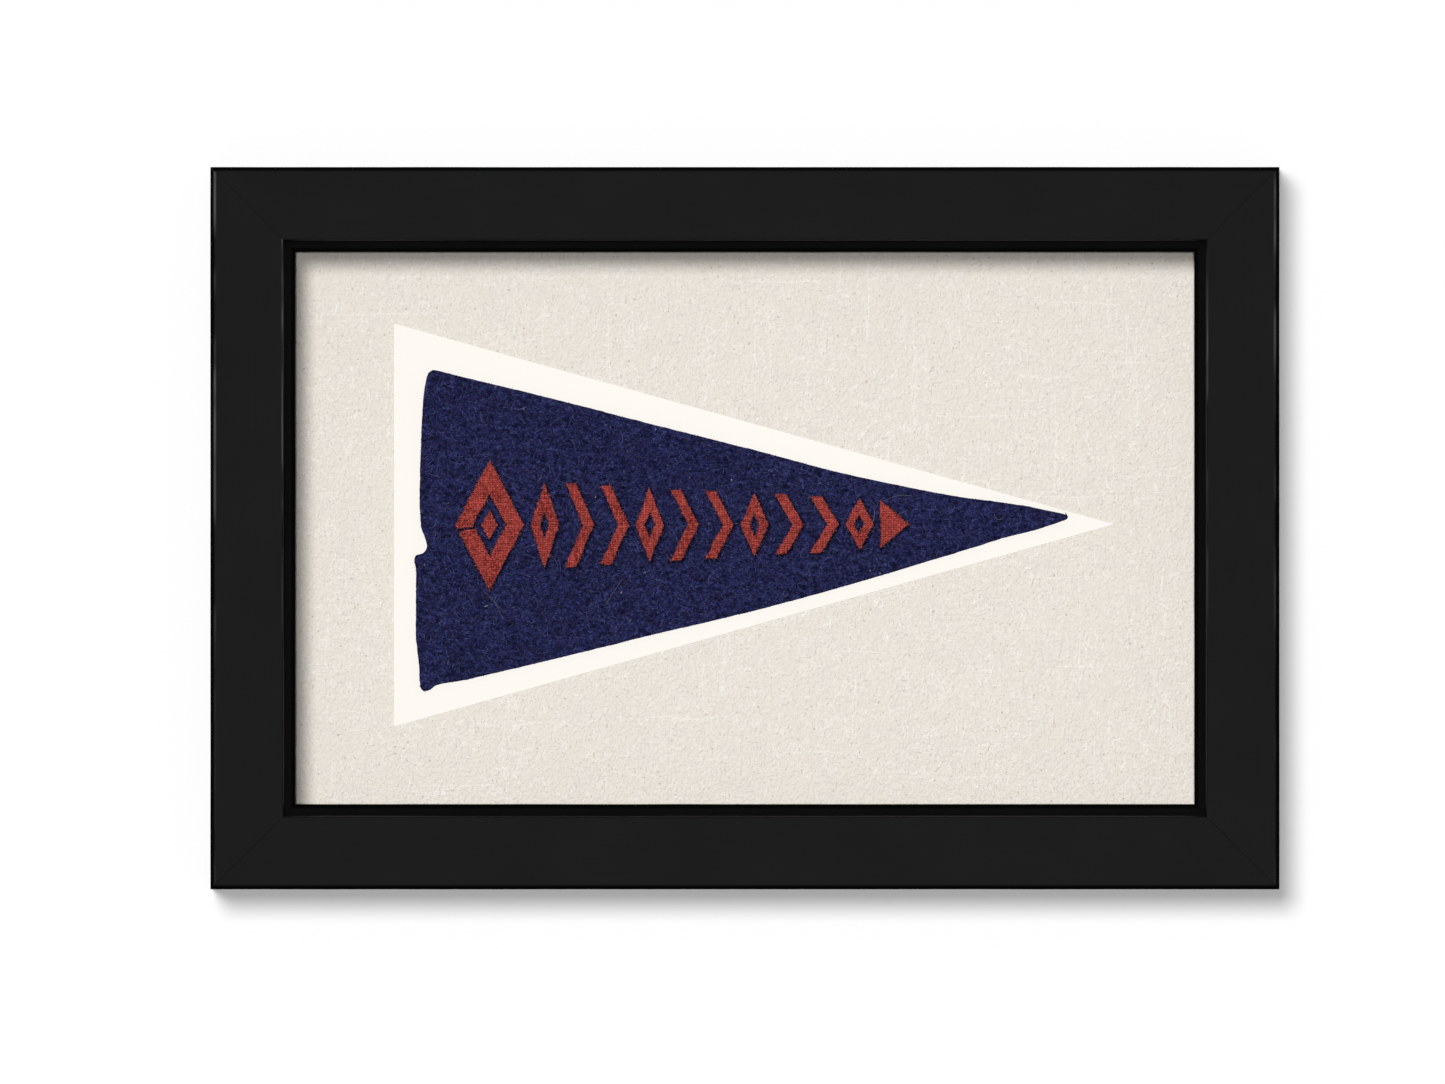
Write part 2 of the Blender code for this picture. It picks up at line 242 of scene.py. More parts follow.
def apply_modifier(piece, kind, **settings):
    make_active(piece)
    modifier = piece.modifiers.new(kind, kind)
    for name, value in settings.items():
        setattr(modifier, name, value)
    bpy.ops.object.modifier_apply(modifier=modifier.name)


def settle(piece):
    """Puts a piece's place, turn and scale into its mesh."""
    make_active(piece)
    bpy.ops.object.transform_apply(location=True, rotation=True, scale=True)


def add_box(name, low, high):
    """A box between two corners."""
    deselect_all()
    bpy.ops.mesh.primitive_cube_add(size=1.0, location=(Vector(low) + Vector(high)) / 2)
    piece = bpy.context.object
    piece.name = name
    piece.data.name = name
    piece.scale = Vector(high) - Vector(low)
    settle(piece)
    return piece


def cut_away(piece, low, high):
    """Cuts a box out of a piece."""
    cutter = add_box("cutter", low, high)
    apply_modifier(piece, "BOOLEAN", operation="DIFFERENCE", solver="EXACT", object=cutter)
    bpy.data.objects.remove(cutter)


def copy_of(piece, name):
    """A copy with its own mesh."""
    copied = bpy.data.objects.new(name, piece.data.copy())
    copied.data.name = name
    bpy.context.scene.collection.objects.link(copied)
    return copied


def copy_of_node(node, name):
    """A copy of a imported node, its loose triangles merged into one skin."""
    piece = copy_of(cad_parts[node], name)
    piece.data.materials.clear()
    start_edit(piece, "VERT")
    bpy.ops.mesh.select_all(action="SELECT")
    bpy.ops.mesh.remove_doubles(threshold=0.01 * MM)
    end_edit()
    return piece


def front_of_node(node, name):
    """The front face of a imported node, as a sheet with no thickness."""
    piece = copy_of_node(node, name)
    start_edit(piece, "FACE")
    pick(piece, "FACE", lambda face: face.normal.y > -0.5)
    bpy.ops.mesh.delete(type="FACE")
    end_edit()
    return piece


def split_along(piece, normal, places):
    """Cuts a piece's faces along planes at these distances, and leaves it whole."""
    start_edit(piece, "FACE")
    for place in places:
        bpy.ops.mesh.select_all(action="SELECT")
        bpy.ops.mesh.bisect(plane_co=Vector(normal) * place, plane_no=normal, use_fill=False)
    end_edit()


def mark_points(piece, name, values):
    """Keeps a number for each point, which a material reads by name."""
    kept = piece.data.attributes.new(name, "FLOAT", "POINT")
    kept.data.foreach_set("value", np.asarray(values, np.float32))


def points_of(piece):
    """A piece's points as an array."""
    found = np.empty(len(piece.data.vertices) * 3, np.float32)
    piece.data.vertices.foreach_get("co", found)
    return found.reshape(-1, 3).astype(float)


def clouds(name, scale, depth):
    """A soft random texture for swelling a surface. scale is the size of its lumps."""
    texture = bpy.data.textures.new(name, "CLOUDS")
    texture.noise_scale = scale
    texture.noise_depth = depth
    return texture


def swell(piece, name, scale, depth, height, group=""):
    """Lets a surface swell and dip along its normals, by up to half the height each way."""
    apply_modifier(
        piece,
        "DISPLACE",
        texture=clouds(name, scale, depth),
        texture_coords="GLOBAL",
        strength=height,
        mid_level=0.5,
        vertex_group=group,
    )


def name_points(piece, name, test):
    """A vertex group of the points that pass the test."""
    group = piece.vertex_groups.new(name=name)
    group.add([point.index for point in piece.data.vertices if test(point.co)], 1.0, "REPLACE")
    return group.name


def dress(piece, material, slot, *nodes):
    """Gives a finished piece its material and its place in the model."""
    piece.data.materials.clear()
    piece.data.materials.append(material)
    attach(piece, "root")
    if nodes:
        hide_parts(*nodes)


def add_node(tree, kind, **settings):
    made = tree.nodes.new(kind)
    for name, value in settings.items():
        setattr(made, name, value)
    return made


def set_inputs(made, **values):
    for name, value in values.items():
        made.inputs[name.replace("_", " ")].default_value = value


def feed(tree, socket, value):
    """Gives a socket its value: another socket, a number or a colour."""
    if isinstance(value, bpy.types.NodeSocket):
        tree.links.new(value, socket)
    elif isinstance(value, (int, float)):
        socket.default_value = value
    else:
        socket.default_value = (*value, 1.0)


def wire(tree, *pairs):
    """Joins nodes. Each pair is an output and the input that it feeds."""
    for output, socket in pairs:
        tree.links.new(output, socket)


def maths(tree, operation, first, second):
    """A Math node. Each value is a socket or a number."""
    made = add_node(tree, "ShaderNodeMath", operation=operation)
    feed(tree, made.inputs[0], first)
    feed(tree, made.inputs[1], second)
    return made.outputs[0]


def blend_values(tree, share, under, over):
    """A number between two, by a share from 0 to 1."""
    made = add_node(tree, "ShaderNodeMix", data_type="FLOAT")
    for socket, value in zip(made.inputs[0:1] + made.inputs[2:4], (share, under, over)):
        feed(tree, socket, value)
    return made.outputs[0]


def new_group(name, inputs, outputs):
    """A shader node group, and its input and output nodes.

    An input socket is given as (name, kind, default), and an output socket as (name, kind)."""
    group = bpy.data.node_groups.new(name, "ShaderNodeTree")
    for label, kind, default in inputs:
        socket = group.interface.new_socket(name=label, in_out="INPUT", socket_type=kind)
        if default is not None:
            socket.default_value = default
    for label, kind in outputs:
        group.interface.new_socket(name=label, in_out="OUTPUT", socket_type=kind)
    return group, add_node(group, "NodeGroupInput"), add_node(group, "NodeGroupOutput")


def streaks_group():
    """Soft random streaks: noise drawn out along each axis by its own size in metres."""
    existing = bpy.data.node_groups.get("streaks")
    if existing:
        return existing
    inputs = [
        ("Vector", "NodeSocketVector", None),
        ("Size", "NodeSocketVector", (MM, MM, MM)),
        ("Detail", "NodeSocketFloat", 2.0),
        ("Low", "NodeSocketFloat", 0.35),
        ("High", "NodeSocketFloat", 0.65),
    ]
    group, start, end = new_group("streaks", inputs, [("Value", "NodeSocketFloat")])
    shrink = add_node(group, "ShaderNodeVectorMath", operation="DIVIDE")
    noise = add_node(group, "ShaderNodeTexNoise", noise_dimensions="3D")
    spread = add_node(group, "ShaderNodeMapRange", interpolation_type="SMOOTHSTEP")
    set_inputs(noise, Scale=1.0, Roughness=0.6)
    wire(
        group,
        (start.outputs["Vector"], shrink.inputs[0]),
        (start.outputs["Size"], shrink.inputs[1]),
        (shrink.outputs[0], noise.inputs["Vector"]),
        (start.outputs["Detail"], noise.inputs["Detail"]),
        (noise.outputs["Fac"], spread.inputs["Value"]),
        (start.outputs["Low"], spread.inputs["From Min"]),
        (start.outputs["High"], spread.inputs["From Max"]),
        (spread.outputs["Result"], end.inputs["Value"]),
    )
    return group


def specks_group():
    """Small scattered specks: 1 in a speck and 0 outside it."""
    existing = bpy.data.node_groups.get("specks")
    if existing:
        return existing
    inputs = [
        ("Vector", "NodeSocketVector", None),
        ("Spacing", "NodeSocketFloat", 5 * MM),
        ("Share", "NodeSocketFloat", 0.1),
        ("Chance", "NodeSocketFloat", 0.5),
    ]
    group, start, end = new_group("specks", inputs, [("Mask", "NodeSocketFloat")])
    shrink = add_node(group, "ShaderNodeVectorMath", operation="SCALE")
    invert = add_node(group, "ShaderNodeMath", operation="DIVIDE")
    invert.inputs[0].default_value = 1.0
    cells = add_node(group, "ShaderNodeTexVoronoi", feature="F1")
    near = add_node(group, "ShaderNodeMath", operation="LESS_THAN")
    parts = add_node(group, "ShaderNodeSeparateColor")
    lucky = add_node(group, "ShaderNodeMath", operation="LESS_THAN")
    both = add_node(group, "ShaderNodeMath", operation="MULTIPLY")
    set_inputs(cells, Scale=1.0)
    wire(
        group,
        (start.outputs["Spacing"], invert.inputs[1]),
        (start.outputs["Vector"], shrink.inputs[0]),
        (invert.outputs[0], shrink.inputs["Scale"]),
        (shrink.outputs[0], cells.inputs["Vector"]),
        (cells.outputs["Distance"], near.inputs[0]),
        (start.outputs["Share"], near.inputs[1]),
        (cells.outputs["Color"], parts.inputs["Color"]),
        (parts.outputs["Red"], lucky.inputs[0]),
        (start.outputs["Chance"], lucky.inputs[1]),
        (near.outputs[0], both.inputs[0]),
        (lucky.outputs[0], both.inputs[1]),
        (both.outputs[0], end.inputs["Mask"]),
    )
    return group


class Finish:
    """A material being made: a Principled shader, Object coordinates, and the tone that its layers give."""

    def __init__(self, name, roughness, specular):
        self.material = bpy.data.materials.new(name)
        self.material.use_nodes = True
        self.tree = self.material.node_tree
        self.shader = self.tree.nodes["Principled BSDF"]
        self.shader.inputs["Roughness"].default_value = roughness
        self.shader.inputs["Specular IOR Level"].default_value = specular
        self.place = add_node(self.tree, "ShaderNodeTexCoord").outputs["Object"]
        self.tone = None

    def streaks(self, across, forward, up, low=0.35, high=0.65, detail=2.0):
        """A value from 0 to 1 in soft streaks of these sizes."""
        made = add_node(self.tree, "ShaderNodeGroup", node_tree=streaks_group())
        made.inputs["Size"].default_value = (across, forward, up)
        made.inputs["Detail"].default_value = detail
        made.inputs["Low"].default_value = low
        made.inputs["High"].default_value = high
        self.tree.links.new(self.place, made.inputs["Vector"])
        return made.outputs["Value"]

    def specks(self, spacing, share, chance):
        """A value of 1 in small specks, and 0 elsewhere."""
        made = add_node(self.tree, "ShaderNodeGroup", node_tree=specks_group())
        set_inputs(made, Spacing=spacing, Share=share, Chance=chance)
        self.tree.links.new(self.place, made.inputs["Vector"])
        return made.outputs["Mask"]

    def attribute(self, name):
        made = add_node(self.tree, "ShaderNodeAttribute", attribute_name=name)
        return made.outputs["Fac"]

    def times(self, first, second):
        return maths(self.tree, "MULTIPLY", first, second)

    def mix(self, share, under, over):
        """One colour over another, by a share from 0 to 1. A colour is a socket or three numbers."""
        made = add_node(self.tree, "ShaderNodeMix", data_type="RGBA")
        feed(self.tree, made.inputs[0], share)
        feed(self.tree, made.inputs[6], under)
        feed(self.tree, made.inputs[7], over)
        return made.outputs[2]

    def begin(self, mask, dark, light):
        """The tone's first layer: from a dark colour to a light one, by the mask."""
        self.tone = self.mix(mask, dark, light)

    def layer(self, mask, share, over):
        """Lays a colour over the tone where the mask is, as strongly as the share says."""
        self.tone = self.mix(mask if share == 1 else self.times(mask, share), self.tone, over)

    def paint(self):
        self.tree.links.new(self.tone, self.shader.inputs["Base Color"])

    def roughen(self, value, low, high):
        """Roughness between two values, by a value from 0 to 1."""
        made = add_node(self.tree, "ShaderNodeMapRange")
        set_inputs(made, To_Min=low, To_Max=high)
        self.tree.links.new(value, made.inputs["Value"])
        self.tree.links.new(made.outputs["Result"], self.shader.inputs["Roughness"])

    def emboss(self, *layers):
        """Bumps of the surface. Each layer is (value, height in metres)."""
        last = None
        for value, height in layers:
            made = add_node(self.tree, "ShaderNodeBump")
            set_inputs(made, Strength=1.0, Distance=height)
            self.tree.links.new(value, made.inputs["Height"])
            if last is not None:
                self.tree.links.new(last, made.inputs["Normal"])
            last = made.outputs["Normal"]
        self.tree.links.new(last, self.shader.inputs["Normal"])


def shade(base, factor):
    """A colour made lighter or darker."""
    return tuple(min(value * factor, 1.0) for value in base)


def paint_finish(name, along, wear_and_sheen):
    """Satin black paint on wood. along is the size of its grain, and the third argument is how much rubbed
    wear and painted highlight its edges carry.
    """
    base = bpy.context.scene.pennant_colours.paint
    made = Finish(name, 0.38, 0.5)
    grain = made.streaks(*along, low=0.3, high=0.7, detail=3.0)
    cloud = made.streaks(34 * MM, 34 * MM, 34 * MM, low=0.3, high=0.7)
    peel = made.streaks(1.1 * MM, 1.1 * MM, 1.1 * MM, low=0.2, high=0.8)
    sheen_rubs = made.streaks(22 * MM, 22 * MM, 22 * MM, low=0.4, high=0.7, detail=1.0)
    dust = made.specks(6 * MM, 0.035, 0.2)
    made.begin(made.times(grain, 0.5), shade(base, 0.9), shade(base, 1.2))
    made.layer(cloud, 0.5, shade(base, 1.3))
    made.layer(dust, 0.3, shade(base, 6.0))
    # Rubbed wear and a painted highlight along the rounded edges
    made.layer(made.times(made.attribute("worn"), sheen_rubs), wear_and_sheen, bpy.context.scene.pennant_colours.rubbed_sheen)
    # Painted shade on the lip, the sight edge and the outer edge's turn, which also lose their gloss
    painted_shade = made.times(made.attribute("painted_shade"), 0.9)
    made.layer(painted_shade, 1, shade(base, 0.1))
    made.paint()
    gloss = made.times(maths(made.tree, "SUBTRACT", 1.0, painted_shade), 0.5)
    made.tree.links.new(gloss, made.shader.inputs["Specular IOR Level"])
    made.roughen(cloud, 0.34, 0.42)
    made.emboss((grain, 0.006 * MM), (peel, 0.003 * MM))
    return made.material


def board_finish():
    """Grey board with flecks of pulp."""
    base = bpy.context.scene.pennant_colours.board
    made = Finish("grey_board", 0.9, 0.2)
    cloud = made.streaks(26 * MM, 26 * MM, 19 * MM)
    pulp = made.streaks(1.6 * MM, 1.6 * MM, 0.8 * MM, low=0.25, high=0.75, detail=4.0)
    dark = made.specks(2.6 * MM, 0.14, 0.35)
    pale = made.specks(3.7 * MM, 0.11, 0.3)
    made.begin(pulp, shade(base, 0.86), shade(base, 1.12))
    made.layer(cloud, 0.35, shade(base, 0.82))
    made.layer(dark, 0.55, shade(base, 0.5))
    made.layer(pale, 0.5, shade(base, 1.5))
    made.paint()
    made.emboss((pulp, 0.05 * MM), (cloud, 0.1 * MM))
    return made.material


def linen_finish(name, base):
    """Natural off-white linen, mottled and crinkled."""
    made = Finish(name, 0.92, 0.12)
    upright = made.streaks(0.8 * MM, 2 * MM, 6 * MM, low=0.3, high=0.7)
    across = made.streaks(6 * MM, 2 * MM, 0.8 * MM, low=0.3, high=0.7)
    blotch = made.streaks(2.1 * MM, 2 * MM, 2.1 * MM, low=0.35, high=0.65, detail=3.0)
    cloud = made.streaks(17 * MM, 16 * MM, 14 * MM)
    crinkle = made.streaks(1.1 * MM, 1.1 * MM, 1.3 * MM, low=0.3, high=0.7, detail=3.0)
    specks = made.specks(4.6 * MM, 0.085, 0.6)
    dashes = made.streaks(0.6 * MM, 1 * MM, 1.3 * MM, low=0.66, high=0.74, detail=1.0)
    made.begin(upright, shade(base, 0.91), shade(base, 1.06))
    made.layer(across, 0.5, shade(base, 0.92))
    made.layer(blotch, 0.5, shade(base, 1.08))
    made.layer(cloud, 0.35, shade(base, 0.95))
    warm = made.streaks(9 * MM, 8 * MM, 8 * MM)
    made.layer(warm, 0.8, (base[0], base[1] * 0.993, base[2] * 0.978))
    brown = (base[0] * 0.62, base[1] * 0.53, base[2] * 0.43)
    made.layer(dashes, 0.5, brown)
    made.layer(specks, 0.6, brown)
    made.paint()
    made.emboss((upright, 0.05 * MM), (across, 0.05 * MM), (crinkle, 0.24 * MM))
    return made.material


def card_finish():
    """Smooth cream card."""
    base = bpy.context.scene.pennant_colours.card
    made = Finish("cream_card", 0.8, 0.2)
    cloud = made.streaks(30 * MM, 30 * MM, 30 * MM)
    fine = made.streaks(0.7 * MM, 0.7 * MM, 0.7 * MM, low=0.2, high=0.8, detail=3.0)
    made.begin(made.times(cloud, 0.4), base, shade(base, 0.985))
    made.layer(fine, 0.25, shade(base, 0.975))
    # The sides and back darken to a grey core, which also paints the shade under the card
    made.layer(made.attribute("core_and_shade"), 1, shade(base, 0.25))
    made.paint()
    made.emboss((fine, 0.01 * MM))
    return made.material


def felt_finish():
    """Navy wool felt: matted fibres in lighter and darker blues, with a few flecks of other wool, and a
    painted shadow beside the patches.
    """
    colours = bpy.context.scene.pennant_colours
    made = Finish("navy_felt", 0.95, 0.08)
    lumps = made.streaks(1.5 * MM, 1.5 * MM, 1.2 * MM, low=0.28, high=0.62, detail=4.0)
    slant = made.streaks(3.2 * MM, 2 * MM, 0.9 * MM, low=0.4, high=0.72, detail=3.0)
    fine = made.streaks(0.7 * MM, 0.7 * MM, 0.65 * MM, low=0.32, high=0.6, detail=2.0)
    purple = made.streaks(3.1 * MM, 3 * MM, 2.3 * MM, low=0.45, high=0.75, detail=2.0)
    teal = made.streaks(4.3 * MM, 5 * MM, 3.7 * MM, low=0.5, high=0.78, detail=2.0)
    maroon = made.streaks(1.3 * MM, 1.7 * MM, 1.1 * MM, low=0.62, high=0.74, detail=1.0)
    pits = made.streaks(2.1 * MM, 2 * MM, 1.7 * MM, low=0.55, high=0.75, detail=3.0)
    made.begin(lumps, shade(colours.felt_dark, 0.8), shade(colours.felt, 2.2))
    made.layer(slant, 0.25, shade(colours.felt_light, 0.62))
    made.layer(purple, 0.5, linear(48, 36, 84))
    made.layer(teal, 0.5, linear(24, 44, 82))
    made.layer(maroon, 0.6, linear(52, 24, 42))
    made.layer(fine, 0.66, shade(colours.felt_dark, 0.6))
    made.layer(pits, 0.6, shade(colours.felt_dark, 0.5))
    # Painted shadow of the patches, to their lower right
    made.layer(made.attribute("pressed"), 0.8, shade(colours.felt_dark, 0.5))
    made.paint()
    made.emboss((lumps, 0.3 * MM), (fine, 0.15 * MM), (slant, 0.15 * MM))
    return made.material


def wool_finish():
    """Loose wool fibres, each with its own tone."""
    colours = bpy.context.scene.pennant_colours
    made = Finish("navy_wool_fibre", 0.8, 0.15)
    made.begin(made.attribute("tone"), shade(colours.felt_dark, 0.9), colours.felt_light)
    purple = made.streaks(3.1 * MM, 3 * MM, 2.3 * MM, low=0.4, high=0.75, detail=2.0)
    fine = made.streaks(1.1 * MM, 1.1 * MM, 1.1 * MM)
    made.layer(purple, 0.4, linear(56, 46, 92))
    made.layer(fine, 0.35, colours.felt)
    made.paint()
    return made.material


def red_finish(name, depth):
    """Brick-red woven cloth, a little faded and stained. depth darkens the cloth; below 1 it paints the shade
    on the cloth that lies under the yarns.
    """
    colours = bpy.context.scene.pennant_colours
    base = shade(colours.red, depth)
    made = Finish(name, 0.88, 0.14)
    faded = made.streaks(7 * MM, 7 * MM, 9 * MM, low=0.35, high=0.7)
    threads = made.streaks(2.4 * MM, 1 * MM, 0.6 * MM, low=0.3, high=0.7, detail=3.0)
    knots = made.streaks(0.6 * MM, 2 * MM, 0.6 * MM, low=0.35, high=0.65, detail=1.0)
    twist = made.streaks(0.42 * MM, 0.42 * MM, 0.42 * MM, low=0.3, high=0.7)
    stain = made.streaks(1.6 * MM, 2 * MM, 1.3 * MM, low=0.62, high=0.78, detail=1.0)
    yarn = made.attribute("tone")
    made.begin(yarn, shade(base, 0.62), shade(base, 1.38))
    made.layer(threads, 0.5, shade(base, 1.45))
    made.layer(knots, 0.8, shade(colours.red_dark, depth * 1.1))
    made.layer(faded, 0.3, shade(base, 1.35))
    made.layer(twist, 0.5, shade(colours.red_dark, depth))
    made.layer(stain, 0.65, shade(colours.red_dark, depth * 0.6))
    pale = maths(made.tree, "GREATER_THAN", yarn, 1.5)
    made.layer(pale, 0.75, linear(172, 112, 108))
    made.paint()
    made.emboss((threads, 0.05 * MM), (twist, 0.05 * MM))
    return made.material


def lint_finish():
    """Pale lint and hairs, some whiter than others."""
    base = bpy.context.scene.pennant_colours.lint
    made = Finish("pale_lint", 0.7, 0.3)
    fine = made.streaks(1.5 * MM, 1.5 * MM, 1.5 * MM)
    made.begin(made.attribute("tone"), shade(base, 0.25), base)
    made.layer(fine, 0.3, shade(base, 0.5))
    made.paint()
    return made.material


def add_strands(name, batches, sides, tones, flatness=1.0):
    """A mesh of many thin strands with pointed ends.

    Each batch is (points, radii): arrays of so many strands, each with so many points. tones has one number
    a strand, which is kept as the attribute tone. flatness is a strand's depth as a share of its width."""
    all_points = []
    all_tones = []
    triangles = []
    quads = []
    start = 0
    used = 0
    turns = np.arange(sides) * math.tau / sides
    for points, radii in batches:
        count, steps = radii.shape
        along = np.gradient(points, axis=1)
        along /= np.linalg.norm(along, axis=2, keepdims=True) + 1e-12
        side = np.cross(along, np.array(FRONT))
        side /= np.linalg.norm(side, axis=2, keepdims=True) + 1e-12
        up = np.cross(side, along)
        depth = np.sin(turns) * flatness
        ring = side[:, :, None, :] * np.cos(turns)[:, None] + up[:, :, None, :] * depth[:, None]
        rings = points[:, :, None, :] + ring * radii[:, :, None, None]
        middle = rings[:, 1:-1].reshape(count, -1, 3)
        placed = np.concatenate([points[:, :1], middle, points[:, -1:]], axis=1)
        size_each = placed.shape[1]
        base = start + np.arange(count)[:, None] * size_each
        first = np.arange(sides)
        after = (first + 1) % sides
        last_ring = 1 + (steps - 3) * sides
        tip = np.stack([np.zeros(sides, int), 1 + after, 1 + first], axis=1)
        end = np.stack([np.full(sides, size_each - 1), last_ring + first, last_ring + after], axis=1)
        fans = np.concatenate([tip, end])
        triangles.append((base[:, :, None] + fans[None]).reshape(-1, 3))
        rows = 1 + np.arange(steps - 3)[:, None] * sides
        walls = np.stack([rows + first, rows + after, rows + sides + after, rows + sides + first], axis=2)
        quads.append((base[:, :, None] + walls.reshape(1, -1, 4)).reshape(-1, 4))
        all_points.append(placed.reshape(-1, 3))
        all_tones.append(np.repeat(tones[used : used + count], size_each))
        start += count * size_each
        used += count
    mesh = bpy.data.meshes.new(name)
    triangles = np.concatenate(triangles)
    quads = np.concatenate(quads)
    mesh.vertices.add(start)
    mesh.vertices.foreach_set("co", np.concatenate(all_points).astype(np.float32).ravel())
    mesh.loops.add(triangles.size + quads.size)
    corners = np.concatenate([triangles.ravel(), quads.ravel()])
    mesh.loops.foreach_set("vertex_index", corners.astype(np.int32))
    mesh.polygons.add(len(triangles) + len(quads))
    starts = np.concatenate([np.arange(len(triangles)) * 3, triangles.size + np.arange(len(quads)) * 4])
    mesh.polygons.foreach_set("loop_start", starts.astype(np.int32))
    tone = mesh.attributes.new("tone", "FLOAT", "POINT")
    tone.data.foreach_set("value", np.concatenate(all_tones).astype(np.float32))
    mesh.update(calc_edges=True)
    mesh.validate()
    mesh.shade_smooth()
    piece = bpy.data.objects.new(name, mesh)
    bpy.context.scene.collection.objects.link(piece)
    return piece


def skin_of(piece):
    """What a piece's surface is asked for its depth by."""
    points = [point.co for point in piece.data.vertices]
    return BVHTree.FromPolygons(points, [list(face.vertices) for face in piece.data.polygons])


def depth_at(skin, x, z, fallback):
    """How far forward a surface lies at a place, as y. Where it has a hole, the nearest point's depth."""
    hit = skin.ray_cast(Vector((x, -1.0, z)), -FRONT)[0]
    if hit is None:
        hit = skin.find_nearest(Vector((x, fallback, z)))[0]
    return hit.y


def lay_on(skin, x, z, fallback):
    """The depth of a surface under each point of many strands, and which strands lie wholly on it."""
    y = np.empty_like(x)
    whole = np.ones(len(x), bool)
    for i, (row_x, row_z) in enumerate(zip(x, z)):
        for j, (px, pz) in enumerate(zip(row_x, row_z)):
            hit = skin.ray_cast(Vector((px, -1.0, pz)), -FRONT)[0]
            y[i, j] = fallback if hit is None else hit.y
            whole[i] &= hit is not None
    return y, whole


def edge_turn(points, y, z, radius):
    """How far each point lies round a rounded edge: an angle from the face, or -9 where it isn't on it."""
    across = np.abs(points[:, 2] - z) / radius
    back = (points[:, 1] - y) / radius
    near = (across <= 1.001) & (back <= 1.001)
    return np.where(near, np.arctan2(1 - across, 1 - back), -9.0)


def make_stock(sizes):
    """A straight stick of the moulding, in the upper rail's place and as long as the frame is wide."""
    low = Vector((-FRAME_WIDTH / 2, TOP_LOW.y, TOP_LOW.z - sizes.lip_reach))
    high = Vector((FRAME_WIDTH / 2, TOP_HIGH.y, TOP_HIGH.z))
    stick = add_box("moulding", low, high)
    past = 1 * MM
    beside = 0.3 * MM
    lip_z = high.z - sizes.face
    lip_y = low.y + sizes.lip_step
    sight_y = lip_y + sizes.lip_slope
    rabbet_y = high.y - sizes.rabbet_depth
    rabbet_z = TOP_LOW.z + sizes.rabbet_width
    cut_away(stick, (low.x - past, rabbet_y, low.z - past), (high.x + past, high.y + past, rabbet_z))
    cut_away(stick, (low.x - past, low.y - past, low.z - past), (high.x + past, lip_y, lip_z))

    def along(y, z):
        return lambda edge: all(math.hypot(p.co.y - y, p.co.z - z) < 0.01 * MM for p in edge.verts)

    rounds = (
        (low.y, high.z, sizes.outer_round, 8),
        (low.y, lip_z, sizes.bead, 6),
        (lip_y, lip_z, sizes.lip_cove, 4),
        (sight_y, low.z, sizes.sight_round, 6),
        (high.y, high.z, sizes.back_round, 2),
        (high.y, rabbet_z, sizes.back_round, 2),
    )
    start_edit(stick, "EDGE")
    pick(stick, "EDGE", along(lip_y, low.z))
    bpy.ops.transform.translate(value=(0.0, sizes.lip_slope, 0.0))
    pick(stick, "EDGE", along(rabbet_y, low.z))
    bpy.ops.transform.translate(value=(0.0, 0.0, sizes.undercut))
    for y, z, radius, segments in rounds:
        pick(stick, "EDGE", along(y, z))
        bpy.ops.mesh.bevel(offset=radius, segments=segments, affect="EDGES")
    pick(stick, "EDGE", lambda edge: abs(edge.verts[0].co.x - edge.verts[1].co.x) > FRAME_WIDTH / 2)
    bpy.ops.mesh.subdivide(number_cuts=sizes.cuts)
    end_edit()
    face_from, face_to = lip_z + sizes.bead + beside, high.z - sizes.outer_round - beside
    split_along(stick, (0.0, 0.0, 1.0), np.linspace(face_from, face_to, 6))
    split_along(stick, (0.0, 0.0, 1.0), (low.z + 2 * MM,))
    side_from, side_to = low.y + sizes.outer_round + beside, high.y - sizes.back_round - beside
    split_along(stick, (0.0, 1.0, 0.0), (side_from, side_to))
    places = points_of(stick)
    outer = edge_turn(places, low.y, high.z, sizes.outer_round)
    bead = edge_turn(places, low.y, lip_z, sizes.bead)
    # Rubbed wear and a painted highlight, a little way round the outer round and the bead, where light would
    # glint
    mark_points(stick, "worn", np.exp(-(((outer - 0.2) / 0.22) ** 2)) + np.exp(-(((bead - 0.3) / 0.3) ** 2)))
    # Painted shade, a darker colour and less gloss, on the lip, the sight edge and the outer edge's turn
    on_lip = (places[:, 1] < sight_y + 2 * MM) & (places[:, 2] < lip_z - 0.1 * MM)
    sight = np.where(on_lip, np.maximum((low.z + 2 * MM - places[:, 2]) / MM, 0.45), 0.0)
    mark_points(stick, "painted_shade", np.maximum((outer - 0.15) / 0.5, sight).clip(0, 1))
    swell(stick, "paint_swell", 24 * MM, 1, sizes.unevenness)
    return stick


def fade_wear_and_sheen(rail):
    """Leaves most of a rail's rubbed wear and painted highlight on its upper half, as in the photograph."""
    worn = rail.data.attributes["worn"].data
    sheen_rub = np.empty(len(worn), np.float32)
    worn.foreach_get("value", sheen_rub)
    high_up = (0.5 + (points_of(rail)[:, 2] - FRAME_CENTRE.z) / (120 * MM)).clip(0.12, 1.0)
    worn.foreach_set("value", (sheen_rub * high_up).astype(np.float32))


def mitre(rail, corner, outwards):
    """Cuts a rail's end through the frame's corner, and closes the cut."""
    start_edit(rail, "FACE")
    bpy.ops.mesh.select_all(action="SELECT")
    bpy.ops.mesh.bisect(plane_co=corner, plane_no=outwards, use_fill=True, clear_outer=True)
    end_edit()


